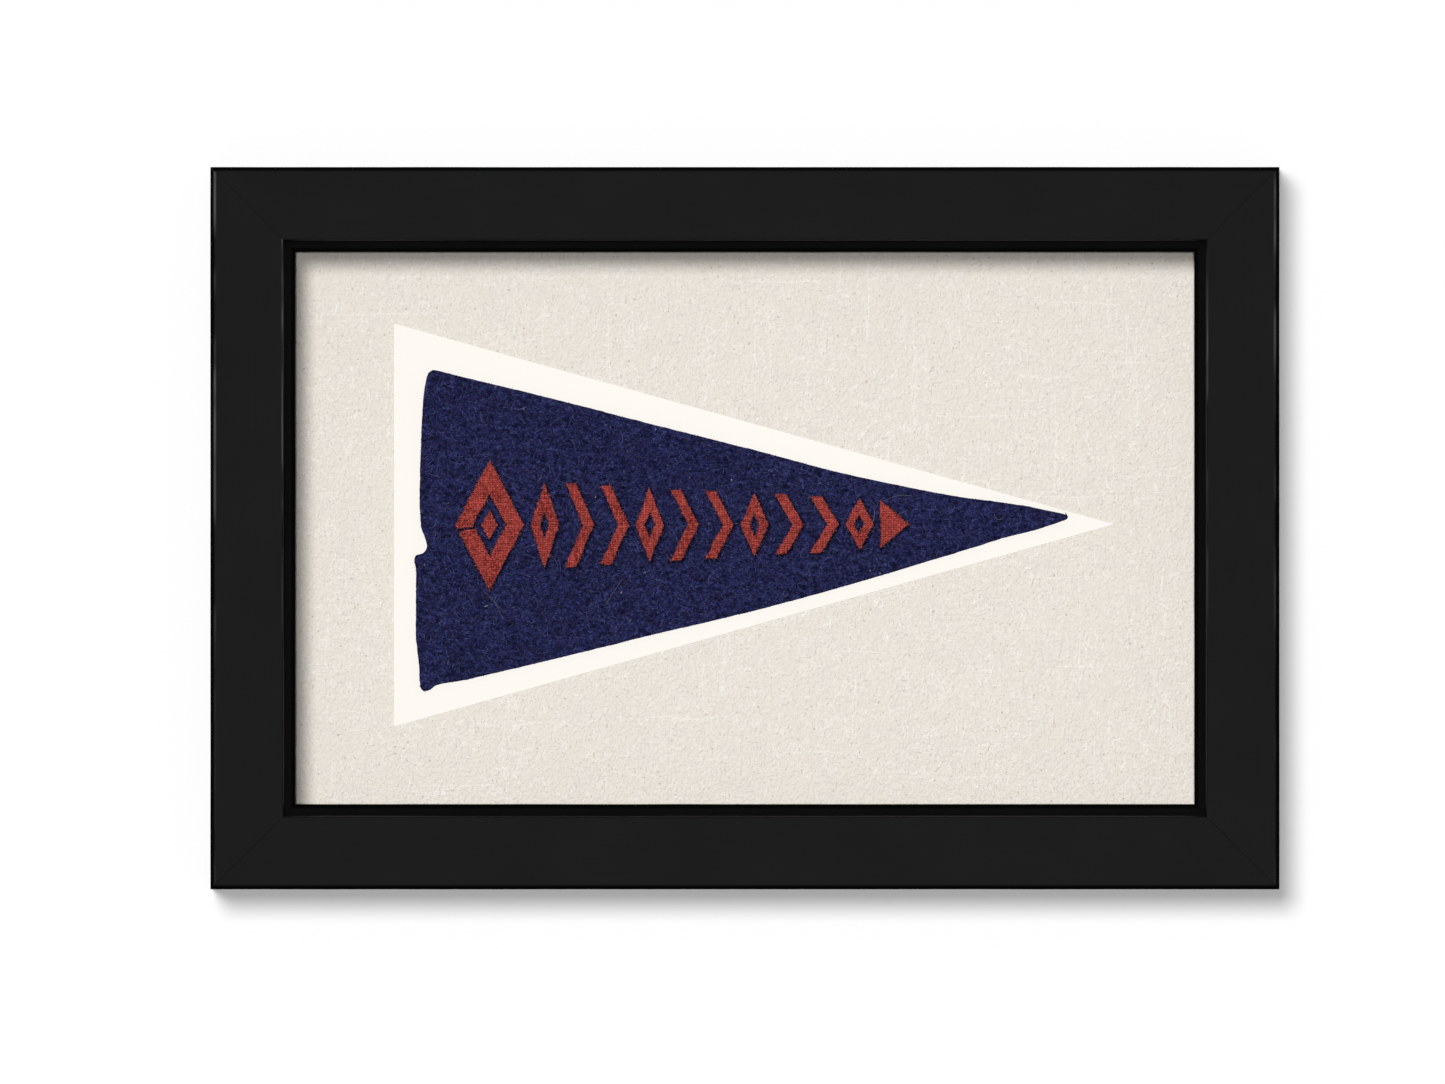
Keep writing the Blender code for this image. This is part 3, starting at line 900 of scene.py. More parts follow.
class PENNANT_OT_add_rails(Operator):
    """Add the four mitred rails of the picture frame"""

    bl_idname = "pennant.add_rails"
    bl_label = "Frame Rails"

    def execute(self, context):
        sizes = context.scene.pennant_moulding
        stick = make_stock(sizes)
        across, upright = (30 * MM, 2 * MM, 1.1 * MM), (1.1 * MM, 2 * MM, 30 * MM)
        # The left rail gets the most painted highlight and wear, the right a little less, and the upper and
        # lower rails almost none
        top = paint_finish("black_paint_across", across, sizes.wear_and_sheen * 0.01)
        right = paint_finish("black_paint_right", upright, sizes.wear_and_sheen * 0.8)
        left = paint_finish("black_paint_left", upright, sizes.wear_and_sheen)
        half_width, half_height = FRAME_WIDTH / 2, FRAME_HEIGHT / 2
        rails = (
            ("top", 0.0, half_height, top),
            ("right", math.pi / 2, half_width, right),
            ("bottom", math.pi, half_height, top),
            ("left", -math.pi / 2, half_width, left),
        )
        for side, turn, reach, finish in rails:
            rail = copy_of(stick, f"rail_{side}")
            turned = Matrix.Rotation(turn, 4, "Y")
            outwards = turned @ Vector((0.0, 0.0, 1.0))
            rail.matrix_world = (
                Matrix.Translation(FRAME_CENTRE + outwards * (reach - half_height))
                @ turned
                @ Matrix.Translation(-FRAME_CENTRE)
            )
            settle(rail)
            fade_wear_and_sheen(rail)
            for end in (-1, 1):
                along = turned @ Vector((end, 0.0, 0.0))
                run = half_width if reach == half_height else half_height
                corner = FRAME_CENTRE + outwards * reach + along * run
                normal = (along - outwards).normalized()
                mitre(rail, corner - normal * sizes.mitre_line / 2, normal)
            make_active(rail)
            bpy.ops.object.shade_smooth_by_angle(angle=math.radians(35))
            dress(rail, finish, "black_painted_wood", f"frame_{side}")
        bpy.data.objects.remove(stick)
        return {"FINISHED"}


class PENNANT_OT_add_backing(Operator):
    """Finish the mount board, and add the card triangle"""

    bl_idname = "pennant.add_backing"
    bl_label = "Board And Card"

    def execute(self, context):
        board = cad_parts["mount_board"]
        board.data.materials.clear()
        board.data.materials.append(board_finish())
        card = copy_of_node("card_triangle", "card_mount")
        start_edit(card, "EDGE")
        bpy.ops.mesh.select_all(action="SELECT")
        centre = (CARD_LOW.x + CARD_STAYS, CARD_LOW.y, FRAME_CENTRE.z)
        bpy.ops.transform.resize(value=(CARD_STRETCH, 1.0, 1.0), center_override=centre)
        pick(card, "EDGE", lambda edge: all(abs(p.co.y - CARD_LOW.y) < 0.01 * MM for p in edge.verts))
        bpy.ops.mesh.bevel(offset=0.1 * MM, segments=2, affect="EDGES")
        end_edit()
        # Sides and back: the grey core, which also paints the shade under the card
        mark_points(card, "core_and_shade", points_of(card)[:, 1] > CARD_LOW.y + 0.09 * MM)
        dress(card, card_finish(), "cream_card", "card_triangle")
        card.visible_shadow = False  # in the photograph the card and the felt cast none
        return {"FINISHED"}


def wander(rng, count, steps, length, bend, heading=None):
    """Curved paths in the plane from the origin: arrays of across and up, each strand turning as it goes."""
    heading = rng.uniform(0, math.tau, (count, 1)) if heading is None else heading[:, None]
    curl = rng.normal(0, bend, (count, 1))
    sway = rng.normal(0, bend * 0.6, (count, steps)).cumsum(axis=1) / steps
    share = np.linspace(0.0, 1.0, steps)[None]
    angle = heading + curl * share + sway
    step = length[:, None] / (steps - 1)
    across = np.concatenate([np.zeros((count, 1)), (np.cos(angle[:, 1:]) * step).cumsum(axis=1)], axis=1)
    up = np.concatenate([np.zeros((count, 1)), (np.sin(angle[:, 1:]) * step).cumsum(axis=1)], axis=1)
    return across, up


class PENNANT_OT_add_linen(Operator):
    """Add the linen ground with its thick threads and loose fibres"""

    bl_idname = "pennant.add_linen"
    bl_label = "Linen Ground"

    def execute(self, context):
        sizes, colours = context.scene.pennant_cloth, context.scene.pennant_colours
        width, height = LINEN_HIGH.x - LINEN_LOW.x, LINEN_HIGH.z - LINEN_LOW.z
        deselect_all()
        bpy.ops.mesh.primitive_grid_add(
            x_subdivisions=round(width / sizes.linen_pitch),
            y_subdivisions=round(height / sizes.linen_pitch),
            size=1.0,
            location=(0.0, LINEN_LOW.y, FRAME_CENTRE.z),
            rotation=(math.pi / 2, 0.0, 0.0),
        )
        linen = context.object
        linen.name = "linen_cloth"
        linen.scale = (width, height, 1.0)
        settle(linen)
        start_edit(linen, "EDGE")
        pick(linen, "EDGE", lambda edge: edge.is_boundary)
        thickness = (0.0, LINEN_HIGH.y - LINEN_LOW.y, 0.0)
        bpy.ops.mesh.extrude_region_move(TRANSFORM_OT_translate={"value": thickness})
        bpy.ops.mesh.edge_face_add()
        bpy.ops.mesh.select_all(action="SELECT")
        bpy.ops.mesh.normals_make_consistent(inside=False)
        end_edit()
        front = name_points(linen, "face", lambda point: point.y < LINEN_LOW.y + 0.2 * MM)
        swell(linen, "linen_waves", 19 * MM, 1, sizes.linen_relief, front)
        swell(linen, "linen_threads", 3.2 * MM, 2, sizes.linen_relief, front)
        make_active(linen)
        bpy.ops.object.shade_smooth_by_angle(angle=math.radians(40))
        dress(linen, linen_finish("natural_linen", colours.linen), "natural_linen", "linen_ground")
        threads = self.add_threads(sizes, skin_of(linen))
        dress(threads, linen_finish("linen_yarn", colours.linen_thread), "natural_linen")
        return {"FINISHED"}

    def add_threads(self, sizes, skin):
        """Slubs along both directions of the weave, and short curled fibres lying on it."""
        rng = np.random.default_rng(11)
        margin = 8 * MM
        bounds = (LINEN_LOW.x + margin, LINEN_HIGH.x - margin, LINEN_LOW.z + margin, LINEN_HIGH.z - margin)
        slubs = self.slubs(sizes.slub_count, rng, skin, *bounds)
        curls = self.curls(sizes.curl_count, rng, skin, *bounds)
        tones = rng.random(sizes.slub_count + sizes.curl_count)
        return add_strands("linen_threads", (slubs, curls), 4, tones, flatness=0.56)

    def slubs(self, count, rng, skin, low_x, high_x, low_z, high_z):
        """Thick threads that sway along the weave, more of them upright than across."""
        steps = 26
        share = np.linspace(0.0, 1.0, steps)
        points = np.zeros((count, steps, 3))
        radii = np.zeros((count, steps))
        for i in range(count):
            upright = rng.random() < 0.62
            length = rng.uniform(9, 46) * MM
            sway = np.sin(share * rng.uniform(4, 11) + rng.uniform(0, 6)) * rng.uniform(0.2, 0.8) * MM
            x, z = rng.uniform(low_x, high_x), rng.uniform(low_z, high_z)
            run = (share - 0.5) * length
            line_x = (x + (sway if upright else run)).clip(low_x, high_x)
            line_z = (z + (run if upright else sway)).clip(low_z, high_z)
            thick = rng.uniform(0.32, 0.52) * MM * (1 + 0.22 * np.sin(share * rng.uniform(6, 15) + i))
            radii[i] = thick * np.sin(share * math.pi).clip(0, 1) ** 0.35
            for j, (px, pz) in enumerate(zip(line_x, line_z)):
                points[i, j] = (px, depth_at(skin, px, pz, LINEN_LOW.y) + 0.34 * radii[i, j], pz)
        return points, radii

    def curls(self, count, rng, skin, low_x, high_x, low_z, high_z):
        """Short fibres, over half of them along the weave, each sunk a third of its thickness into it."""
        steps = 7
        weave = rng.choice([0.0, math.pi / 2], count, p=[0.35, 0.65]) + rng.normal(0, 0.12, count)
        heading = np.where(rng.random(count) < 0.6, weave, rng.uniform(0, math.tau, count))
        across, up = wander(rng, count, steps, rng.uniform(1.6, 6.5, count) * MM, 1.1, heading)
        x = (rng.uniform(low_x, high_x, (count, 1)) + across).clip(low_x, high_x)
        z = (rng.uniform(low_z, high_z, (count, 1)) + up).clip(low_z, high_z)
        y = lay_on(skin, x, z, LINEN_LOW.y)[0]
        taper = np.sin(np.linspace(0.0, math.pi, steps)).clip(0, 1)[None] ** 0.4
        thick = rng.uniform(0.3, 0.56, (count, 1)) * MM * taper
        return np.stack([x, y + 0.3 * thick, z], axis=2), thick


class PENNANT_OT_add_felt(Operator):
    """Add the felt pennant with its nap, stray hairs and lint"""

    bl_idname = "pennant.add_felt"
    bl_label = "Felt Pennant"

    def execute(self, context):
        sizes = context.scene.pennant_cloth
        felt = front_of_node("felt_pennant", "felt_cloth")
        start_edit(felt, "FACE")
        bpy.ops.mesh.select_all(action="SELECT")
        bpy.ops.mesh.subdivide(number_cuts=1)
        end_edit()
        apply_modifier(felt, "SUBSURF", levels=1, render_levels=1)
        self.widen_tip(sizes, felt)
        outline = rim_of(felt)
        apply_modifier(felt, "SOLIDIFY", thickness=sizes.felt_thickness, offset=-1.0)
        start_edit(felt, "EDGE")
        pick(felt, "EDGE", front_rim_edge)
        bpy.ops.mesh.bevel(offset=sizes.felt_edge, segments=3, affect="EDGES")
        pick(felt, "FACE", lambda face: face.normal.y < -0.3)
        bpy.ops.mesh.subdivide(number_cuts=1)
        end_edit()
        self.press_in(sizes, felt)
        back = FELT_HIGH.y - 0.5 * MM
        face = name_points(felt, "face", lambda point: point.y < back)
        swell(felt, "felt_lumps", 3.4 * MM, 2, sizes.felt_relief, face)
        swell(felt, "felt_grain", 1.1 * MM, 1, sizes.felt_relief * 0.8, face)
        make_active(felt)
        bpy.ops.object.shade_smooth()
        dress(felt, felt_finish(), "navy_felt", "felt_pennant")
        skin = skin_of(felt)
        nap = self.add_nap(sizes, felt, skin, outline)
        dress(nap, wool_finish(), "navy_felt")
        felt.visible_shadow = nap.visible_shadow = False
        lint = self.add_lint(sizes, felt, skin)
        dress(lint, lint_finish(), "navy_felt")
        return {"FINISHED"}

    def widen_tip(self, sizes, felt):
        """Lets the outline bulge a little towards the tip, which wear has rounded."""
        start_edit(felt, "EDGE")
        end = FELT_HIGH.x - 0.4 * MM
        pick(felt, "EDGE", lambda edge: edge.is_boundary and all(point.co.x > end for point in edge.verts))
        chosen = [point.co for point in bmesh.from_edit_mesh(felt.data).verts if point.select]
        bpy.ops.transform.resize(
            value=(1.0, 1.0, sizes.tip_bulge),
            center_override=sum(chosen, Vector()) / len(chosen),
            use_proportional_edit=True,
            proportional_edit_falloff="SMOOTH",
            proportional_size=sizes.tip_length,
        )
        end_edit()

    def press_in(self, sizes, felt):
        """Presses the felt in round the patches, and marks the painted shadow that the patches cast to their
        lower right.
        """
        tree = KDTree(200000)
        step = 0.3 * MM
        for node in PATCH_NODES:
            sheet = front_of_node(node, "outline")
            for first, second in outline_edges(sheet):
                for share in np.linspace(0, 1, 2 + int(np.linalg.norm(second - first) / step)):
                    x, z = first + share * (second - first)
                    tree.insert((x, 0.0, z), 0)
            bpy.data.objects.remove(sheet)
        tree.balance()
        group = felt.vertex_groups.new(name="dent")
        places = points_of(felt)
        pressed = np.zeros(len(places))
        for i, (x, y, z) in enumerate(places):
            if y > FELT_HIGH.y - 1.2 * MM:
                continue
            # Painted shadow where a patch's outline, moved a little to the lower right, passes
            shade_gap = tree.find((x - 0.4 * MM, 0.0, z + 0.5 * MM))[2]
            gap = tree.find((x, 0.0, z))[2]
            pressed[i] = min(max(1.0 - (shade_gap - 0.3 * MM) / (0.5 * MM), 0.0), 1.0)
            if gap < 1.2 * MM:
                group.add([i], 1.0 - gap / (1.2 * MM), "REPLACE")
        mark_points(felt, "pressed", pressed)
        apply_modifier(felt, "DISPLACE", strength=-sizes.press_depth, mid_level=0.0, vertex_group="dent")

    def add_nap(self, sizes, felt, skin, outline):
        """Wool fibres lying in the felt's face, and some that stand out of its cut edge."""
        rng = np.random.default_rng(23)
        kinds = ((sizes.short_fibres, 4, 1.2, 3.4, 1.1, 1.0), (sizes.long_fibres, 7, 3.0, 7.5, 2.2, 0.85))
        batches = []
        tones = []
        for count, steps, shortest, longest, bend, girth in kinds:
            start_x, start_z = scatter(felt, rng, count)
            across, up = wander(rng, count, steps, rng.uniform(shortest, longest, count) * MM, bend)
            x, z = start_x[:, None] + across, start_z[:, None] + up
            share = np.linspace(0.0, 1.0, steps)[None]
            arch = np.sin(share * math.pi) * rng.uniform(0.04, 0.2, (count, 1)) * MM
            y, whole = lay_on(skin, x, z, FELT_LOW.y)
            thick = np.repeat(rng.uniform(0.06, 0.12, (count, 1)) * MM * girth, steps, axis=1)
            batches.append((np.stack([x, y - arch + 0.03 * MM, z], axis=2)[whole], thick[whole]))
            tones.append(rng.beta(0.5, 2.2, count)[whole])
        batches.append(self.edge_fibres(sizes, rng, outline))
        tones.append(rng.uniform(0.05, 0.5, sizes.edge_fibres))
        return add_strands("felt_nap", batches, 3, np.concatenate(tones))

    def edge_fibres(self, sizes, rng, outline):
        """Short fibres that cross the cut edge."""
        count = sizes.edge_fibres
        picks = rng.integers(0, len(outline), count)
        spots = outline[picks]
        steps = 4
        length = rng.uniform(0.4, 1.1, count) * MM
        across, up = wander(rng, count, steps, length, 1.2)
        x = spots[:, 0:1] + across - across.mean(axis=1, keepdims=True)
        z = spots[:, 2:3] + up - up.mean(axis=1, keepdims=True)
        depth = rng.uniform(0.2, 1.5, (count, 1)) * MM
        y = np.repeat(spots[:, 1:2] + depth, steps, axis=1) + rng.normal(0, 0.08, (count, steps)) * MM
        thick = rng.uniform(0.04, 0.07, (count, 1)) * MM
        return np.stack([x, y, z], axis=2), np.repeat(thick, steps, axis=1)

    def add_lint(self, sizes, felt, skin):
        """Long stray hairs, and specks of lint, each a few tiny curled fibres."""
        rng = np.random.default_rng(5)
        count = sizes.hair_count
        start_x, start_z = scatter(felt, rng, count)
        steps = 16
        across, up = wander(rng, count, steps, rng.uniform(5, 14, count) * MM, 1.5)
        x, z = start_x[:, None] + across, start_z[:, None] + up
        y, whole = lay_on(skin, x, z, FELT_LOW.y)
        y = y - rng.uniform(0.15, 0.4, (count, 1)) * MM
        thick = rng.uniform(0.035, 0.06, (count, 1)) * MM
        batches = [(np.stack([x, y, z], axis=2)[whole], np.repeat(thick, steps, axis=1)[whole])]
        hair_tones = rng.uniform(0.05, 0.7, count)[whole]
        fluff = 4
        count = sizes.lint_count
        start_x, start_z = scatter(felt, rng, count)
        start_x, start_z = np.repeat(start_x, fluff), np.repeat(start_z, fluff)
        steps = 6
        across, up = wander(rng, count * fluff, steps, rng.uniform(0.3, 1.0, count * fluff) * MM, 3.5)
        x, z = start_x[:, None] + across, start_z[:, None] + up
        y = lay_on(skin, x, z, FELT_LOW.y)[0]
        y = y - rng.uniform(0.12, 0.4, (count * fluff, 1)) * MM
        thick = rng.uniform(0.04, 0.08, (count * fluff, 1)) * MM
        batches.append((np.stack([x, y, z], axis=2), np.repeat(thick, steps, axis=1)))
        tones = np.concatenate([hair_tones, np.repeat(rng.uniform(0.2, 1.0, count), fluff)])
        return add_strands("felt_lint", batches, 4, tones)


def front_rim_edge(edge):
    """True for an edge between a sheet's front and its cut side."""
    if len(edge.link_faces) != 2:
        return False
    first, second = (face.normal.y for face in edge.link_faces)
    return min(first, second) < -0.7 and max(first, second) > -0.5


def rim_of(sheet):
    """The points on the open edge of a sheet, as an array."""
    mesh = bmesh.new()
    mesh.from_mesh(sheet.data)
    found = np.array([point.co for point in mesh.verts if point.is_boundary])
    mesh.free()
    return found


def scatter(piece, rng, count):
    """Random places on a piece's front, even over its area: arrays of x and z."""
    mesh = piece.data
    mesh.calc_loop_triangles()
    places = np.array([point.co for point in mesh.vertices])
    corners = np.array([triangle.vertices for triangle in mesh.loop_triangles])
    a, b, c = (places[corners[:, i]] for i in range(3))
    area = np.linalg.norm(np.cross(b - a, c - a), axis=1)
    facing = np.array([triangle.normal.y for triangle in mesh.loop_triangles]) < -0.5
    area = np.where(facing, area, 0.0)
    picks = rng.choice(len(area), count, p=area / area.sum())
    first, second = rng.random(count), rng.random(count)
    flip = first + second > 1
    first, second = np.where(flip, 1 - first, first), np.where(flip, 1 - second, second)
    spots = a[picks] + first[:, None] * (b - a)[picks] + second[:, None] * (c - a)[picks]
    return spots[:, 0], spots[:, 2]


def outline_edges(sheet):
    """The open edges of a sheet as an array of (start, end) points in x and z."""
    mesh = bmesh.new()
    mesh.from_mesh(sheet.data)
    edges = [[(p.co.x, p.co.z) for p in edge.verts] for edge in mesh.edges if edge.is_boundary]
    mesh.free()
    return np.array(edges)


def spans(edges, level):
    """Where a line at a level lies inside an outline: pairs of start and end along it."""
    low, high = edges[:, :, 1].min(axis=1), edges[:, :, 1].max(axis=1)
    crossed = edges[(low <= level) & (high > level)]
    share = (level - crossed[:, 0, 1]) / (crossed[:, 1, 1] - crossed[:, 0, 1])
    places = np.sort(crossed[:, 0, 0] + share * (crossed[:, 1, 0] - crossed[:, 0, 0]))
    return list(zip(places[::2], places[1::2]))


class PENNANT_OT_add_patches(Operator):
    """Add the woven cloth patches, each with its own yarns"""

    bl_idname = "pennant.add_patches"
    bl_label = "Woven Patches"

    def execute(self, context):
        sizes = context.scene.pennant_cloth
        # The plain cloth under the yarns, darkened as painted shade
        shaded_cloth_material = red_finish("red_cloth_under_shaded", 0.4)
        yarn_material = red_finish("red_yarn", 1.0)
        for i, node in enumerate(PATCH_NODES):
            rng = np.random.default_rng(100 + i)
            sheet = front_of_node(node, "outline")
            yarns = self.add_yarns(sizes, rng, sheet, f"{node}_yarns")
            bpy.data.objects.remove(sheet)
            cloth = copy_of_node(node, f"{node}_cloth")
            start_edit(cloth, "FACE")
            pick(cloth, "FACE", lambda face: face.normal.y < -0.5)
            bpy.ops.transform.translate(value=(0.0, CLOTH_BEHIND, 0.0))
            end_edit()
            dress(cloth, shaded_cloth_material, "red_cloth", node)
            dress(yarns, yarn_material, "red_cloth")
        return {"FINISHED"}

    def add_yarns(self, sizes, rng, sheet, name):
        """Plain weave over the whole of a patch, its yarns cut at the patch's edge and a little frayed."""
        skin = skin_of(sheet)
        low_y = min(point.co.y for point in sheet.data.vertices)
        tilt = np.array(Matrix.Rotation(math.radians(rng.uniform(-3.0, 3.0)), 2))
        edges = outline_edges(sheet)
        centre = edges.reshape(-1, 2).mean(axis=0)
        turned = (edges - centre) @ tilt
        batches = []
        weft = (turned, sizes.weft_pitch, sizes.warp_pitch, sizes.weft_radius, 0.14 * MM)
        warp = (turned[:, :, ::-1], sizes.warp_pitch, sizes.weft_pitch, sizes.warp_radius, 0.2 * MM)
        for upright, (outline, pitch, other, radius, rise) in enumerate((weft, warp)):
            low, high = outline[:, :, 1].min(), outline[:, :, 1].max()
            for row in range(math.ceil(low / pitch), math.floor(high / pitch) + 1):
                level = (row + rng.uniform(-0.08, 0.08)) * pitch
                for start, end in spans(outline, level):
                    if end - start < 0.5 * MM:
                        continue
                    start -= rng.uniform(-0.2, 1.0) * sizes.fray
                    end += rng.uniform(-0.2, 1.0) * sizes.fray
                    steps = max(5, round((end - start) / (other / 2)) + 1)
                    run = np.linspace(start, end, steps)
                    sway = rng.normal(0, 0.025 * MM, steps)
                    flat = np.stack([run, level + sway], axis=1)
                    wave = np.cos(math.pi * run / other + math.pi * (row + upright)) * rise
                    if upright:
                        flat = flat[:, ::-1]
                    flat = flat @ tilt.T + centre
                    points = np.zeros((steps, 3))
                    for j, (x, z) in enumerate(flat):
                        points[j] = (x, depth_at(skin, x, z, low_y) + YARNS_BEHIND - wave[j], z)
                    thick = radius * (1 + rng.normal(0, 0.05, steps))
                    thick[0] = thick[-1] = radius * 0.3
                    batches.append((points[None], thick[None]))
        tones = rng.random(len(batches))
        fuzz = self.add_fuzz(sizes, rng, edges, skin, low_y)
        batches.append(fuzz)
        return add_strands(name, batches, 5, np.concatenate([tones, np.full(len(fuzz[0]), 2.0)]))

    def add_fuzz(self, sizes, rng, edges, skin, low_y):
        """Short pale fibres rubbed loose along a patch's cut edge."""
        spots = []
        for first, second in edges:
            count = max(1, round(np.linalg.norm(second - first) / sizes.fuzz_pitch))
            spots.extend(first + (second - first) * rng.random() for i in range(count))
        spots = np.array(spots)
        count, steps = len(spots), 4
        across, up = wander(rng, count, steps, rng.uniform(0.3, 1.1, count) * MM, 1.6)
        x, z = spots[:, 0:1] + across, spots[:, 1:2] + up
        y = lay_on(skin, x, z, low_y + 0.4 * MM)[0] + rng.uniform(-0.05, 0.25, (count, 1)) * MM
        thick = rng.uniform(0.035, 0.07, (count, 1)) * MM
        return np.stack([x, y, z], axis=2), np.repeat(thick, steps, axis=1)


def add_backdrop(name, shown, glow, centre, turn, width, height):
    """A wide sheet that only the camera sees, from its front. glow is the light that fills its shadows."""
    deselect_all()
    bpy.ops.mesh.primitive_plane_add(size=1.0, location=centre, rotation=(turn, 0.0, 0.0))
    sheet = bpy.context.object
    sheet.name = name
    sheet.scale = (width, height, 1.0)
    settle(sheet)
    material = bpy.data.materials.new(name)
    material.use_nodes = True
    tree = material.node_tree
    tree.nodes.clear()
    output = add_node(tree, "ShaderNodeOutputMaterial")
    mixed = add_node(tree, "ShaderNodeMixShader")
    plain = add_node(tree, "ShaderNodeBsdfPrincipled")
    clear = add_node(tree, "ShaderNodeBsdfTransparent")
    sides = add_node(tree, "ShaderNodeNewGeometry")
    set_inputs(plain, Roughness=1.0, Specular_IOR_Level=0.0, Emission_Strength=glow)
    plain.inputs["Base Color"].default_value = (*shade(shown, 1 - glow), 1.0)
    plain.inputs["Emission Color"].default_value = (*shown, 1.0)
    wire(
        tree,
        (sides.outputs["Backfacing"], mixed.inputs[0]),
        (plain.outputs[0], mixed.inputs[1]),
        (clear.outputs[0], mixed.inputs[2]),
        (mixed.outputs[0], output.inputs["Surface"]),
    )
    sheet.data.materials.append(material)
    sheet.visible_diffuse = False
    sheet.visible_glossy = False
    sheet.visible_transmission = False
    sheet.visible_shadow = False


def add_sun(name, towards, spread, share):
    """Soft parallel light from one direction, which gives white that share of full brightness."""
    towards = Vector(towards).normalized()
    lamp = bpy.data.lights.new(name, "SUN")
    lamp.angle = spread
    lamp.energy = share * math.pi / max(-towards.y, 0.5)
    light = bpy.data.objects.new(name, lamp)
    light.rotation_euler = towards.to_track_quat("Z", "Y").to_euler()
    light.visible_glossy = False
    bpy.context.scene.collection.objects.link(light)


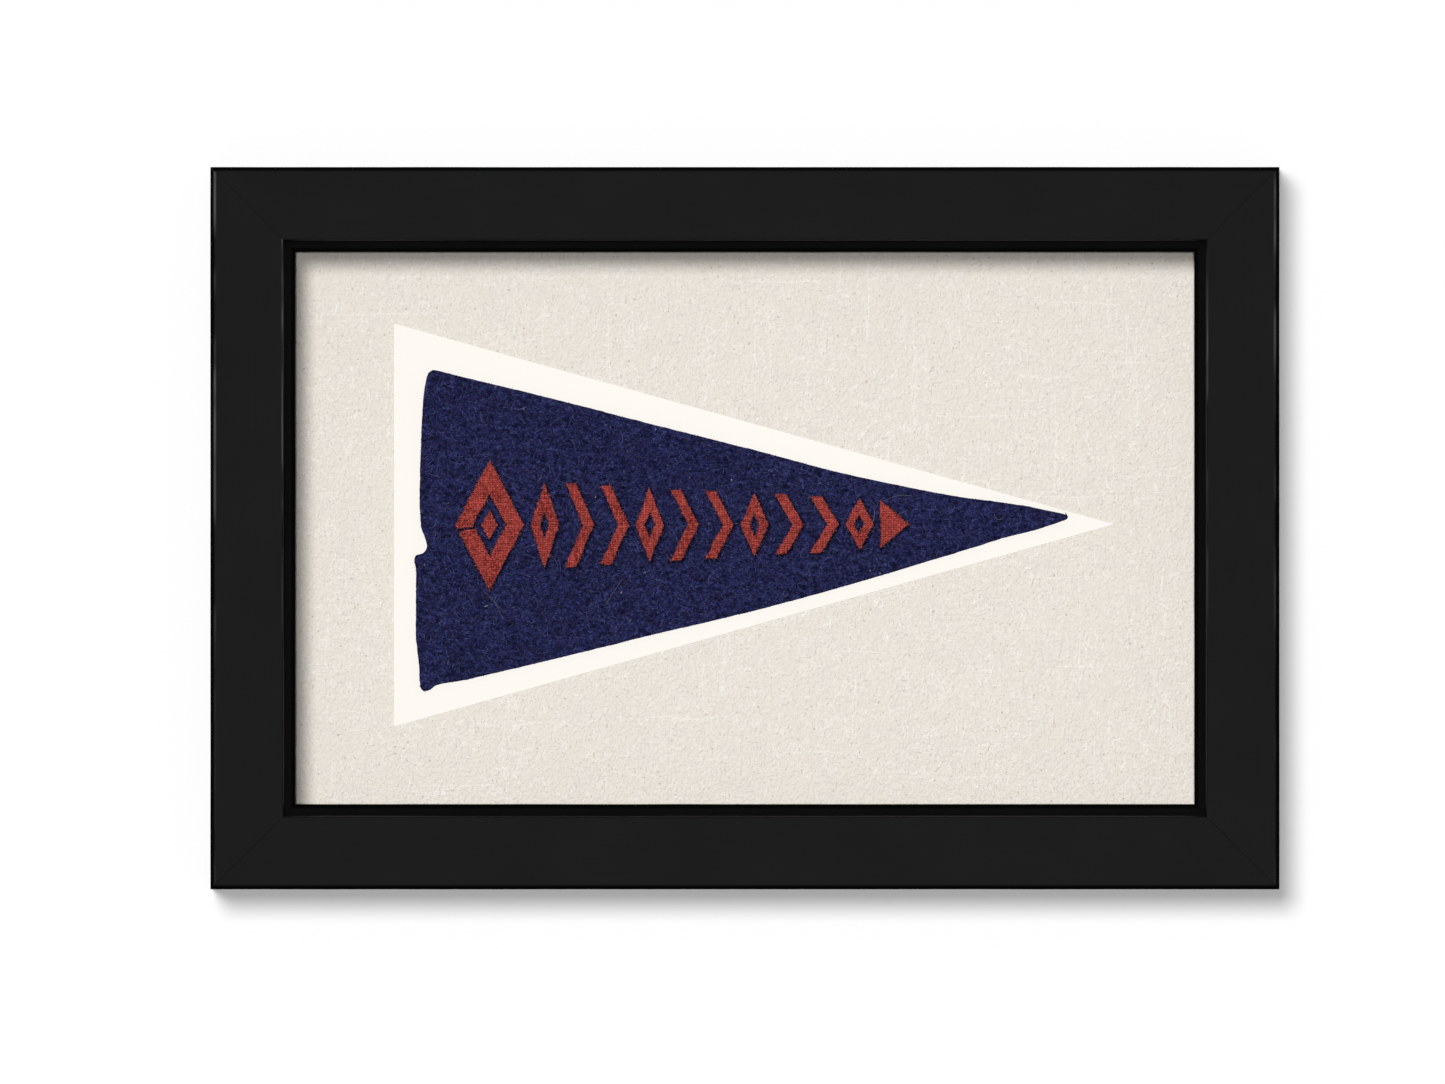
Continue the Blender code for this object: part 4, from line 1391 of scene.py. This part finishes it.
class PENNANT_OT_add_stage(Operator):
    """Add the camera, lights, wall and floor"""

    bl_idname = "pennant.add_stage"
    bl_label = "Camera And Light"

    def execute(self, context):
        stage = context.scene.pennant_stage
        context.scene.view_settings.view_transform = "Standard"
        self.add_camera(context, stage)
        suns = (
            ("key", (stage.key_right, -1.0, stage.key_up), stage.key_spread, stage.key_share),
            ("fill", (0.0, -1.0, 0.0), stage.fill_spread, stage.fill_share),
            ("above", (0.0, 0.3, 1.0), math.radians(40), 0.25),
            ("behind", (0.4, 1.0, 0.5), math.radians(30), 0.3),
            ("beside_-1", (-1, 0.35, 0.3), math.radians(40), 0.2),
            ("beside_+1", (1, 0.35, 0.3), math.radians(40), 0.2),
        )
        for sun in suns:
            add_sun(*sun)
        self.add_room(context, stage)
        self.add_surroundings()
        return {"FINISHED"}

    def add_camera(self, context, stage):
        """A camera straight in front, with the frame as large and in the same place as in the photograph."""
        lens = bpy.data.cameras.new("camera")
        camera = bpy.data.objects.new("camera", lens)
        context.scene.collection.objects.link(camera)
        metres_per_pixel = FRAME_WIDTH / PHOTO_FRAME_WIDTH
        right = (PHOTO_WIDTH / 2 - PHOTO_CENTRE[0]) * metres_per_pixel
        up = (PHOTO_CENTRE[1] - PHOTO_HEIGHT / 2) * metres_per_pixel
        widest = FRAME_DEPTH - context.scene.pennant_moulding.outer_round
        camera.location = FRAME_CENTRE + Vector((right, -widest - stage.distance, up))
        camera.rotation_euler = (math.pi / 2, 0.0, 0.0)
        lens.sensor_width = 36.0
        lens.lens = lens.sensor_width * stage.distance / (PHOTO_WIDTH * metres_per_pixel)
        lens.clip_end = 100.0
        context.scene.camera = camera

    def add_room(self, context, stage):
        """A dim even room, of which paint mirrors only the parts in front, behind, above and at the sides."""
        world = bpy.data.worlds.new("soft_room")
        world.use_nodes = True
        tree = world.node_tree
        background = tree.nodes["Background"]
        background.inputs["Color"].default_value = (1.0, 1.0, 1.0, 1.0)
        split = add_node(tree, "ShaderNodeSeparateXYZ")
        tree.links.new(add_node(tree, "ShaderNodeTexCoord").outputs["Generated"], split.inputs[0])
        mirrored = 0.01
        for axis, strength, power in (("X", 0.06, 24), ("Y", stage.gloss, 8), ("Z", 0.06, 24)):
            near = maths(tree, "POWER", maths(tree, "ABSOLUTE", split.outputs[axis], 0.0), power)
            mirrored = maths(tree, "ADD", maths(tree, "MULTIPLY", near, strength), mirrored)
        behind = maths(tree, "MULTIPLY", maths(tree, "MAXIMUM", split.outputs["Y"], 0.0), 0.2)
        mirrored = maths(tree, "ADD", mirrored, behind)
        rays = add_node(tree, "ShaderNodeLightPath")
        lit = blend_values(tree, rays.outputs["Is Glossy Ray"], stage.room_share, mirrored)
        seen = blend_values(tree, rays.outputs["Is Camera Ray"], lit, 0.9)
        tree.links.new(seen, background.inputs["Strength"])
        context.scene.world = world

    def add_surroundings(self):
        """A white wall behind the frame, and a pale floor far below it."""
        behind = 0.4 * MM
        wall, floor = FRAME_CENTRE + Vector((0, behind, 0.2)), FRAME_CENTRE + Vector((0, 0, -1.2))
        add_backdrop("white_wall", (1.0, 1.0, 1.0), 0.12, wall, math.pi / 2, 4.0, 2.8)
        add_backdrop("pale_floor", (0.9, 0.89, 0.87), 0.0, floor, 0.0, 4.0, 5.2)


class PENNANT_PT_panel(Panel):
    """Lists the pieces of the framed pennant"""

    bl_idname = "PENNANT_PT_panel"
    bl_label = "Framed Felt Pennant"
    bl_space_type = "VIEW_3D"
    bl_region_type = "UI"
    bl_category = "Pennant"

    def draw(self, context):
        layout = self.layout
        for operator in OPERATORS:
            layout.operator(operator.bl_idname)
        for group in ("pennant_moulding", "pennant_cloth", "pennant_colours", "pennant_stage"):
            box = layout.box()
            settings = getattr(context.scene, group)
            for name in settings.bl_rna.properties.keys():
                if name not in ("rna_type", "name"):
                    box.prop(settings, name)


GROUPS = {
    "pennant_moulding": MouldingSizes,
    "pennant_cloth": ClothSizes,
    "pennant_colours": Colours,
    "pennant_stage": StageSettings,
}
OPERATORS = (
    PENNANT_OT_add_rails,
    PENNANT_OT_add_backing,
    PENNANT_OT_add_linen,
    PENNANT_OT_add_felt,
    PENNANT_OT_add_patches,
    PENNANT_OT_add_stage,
)


def register():
    for kind in (*GROUPS.values(), *OPERATORS, PENNANT_PT_panel):
        bpy.utils.register_class(kind)
    for name, kind in GROUPS.items():
        setattr(bpy.types.Scene, name, PointerProperty(type=kind))


def unregister():
    for name in GROUPS:
        delattr(bpy.types.Scene, name)
    for kind in (PENNANT_PT_panel, *reversed(OPERATORS), *reversed(GROUPS.values())):
        bpy.utils.unregister_class(kind)


def main():
    register()
    bpy.ops.pennant.add_rails()
    bpy.ops.pennant.add_backing()
    bpy.ops.pennant.add_linen()
    bpy.ops.pennant.add_felt()
    bpy.ops.pennant.add_patches()
    bpy.ops.pennant.add_stage()


if __name__ == "__main__":
    main()
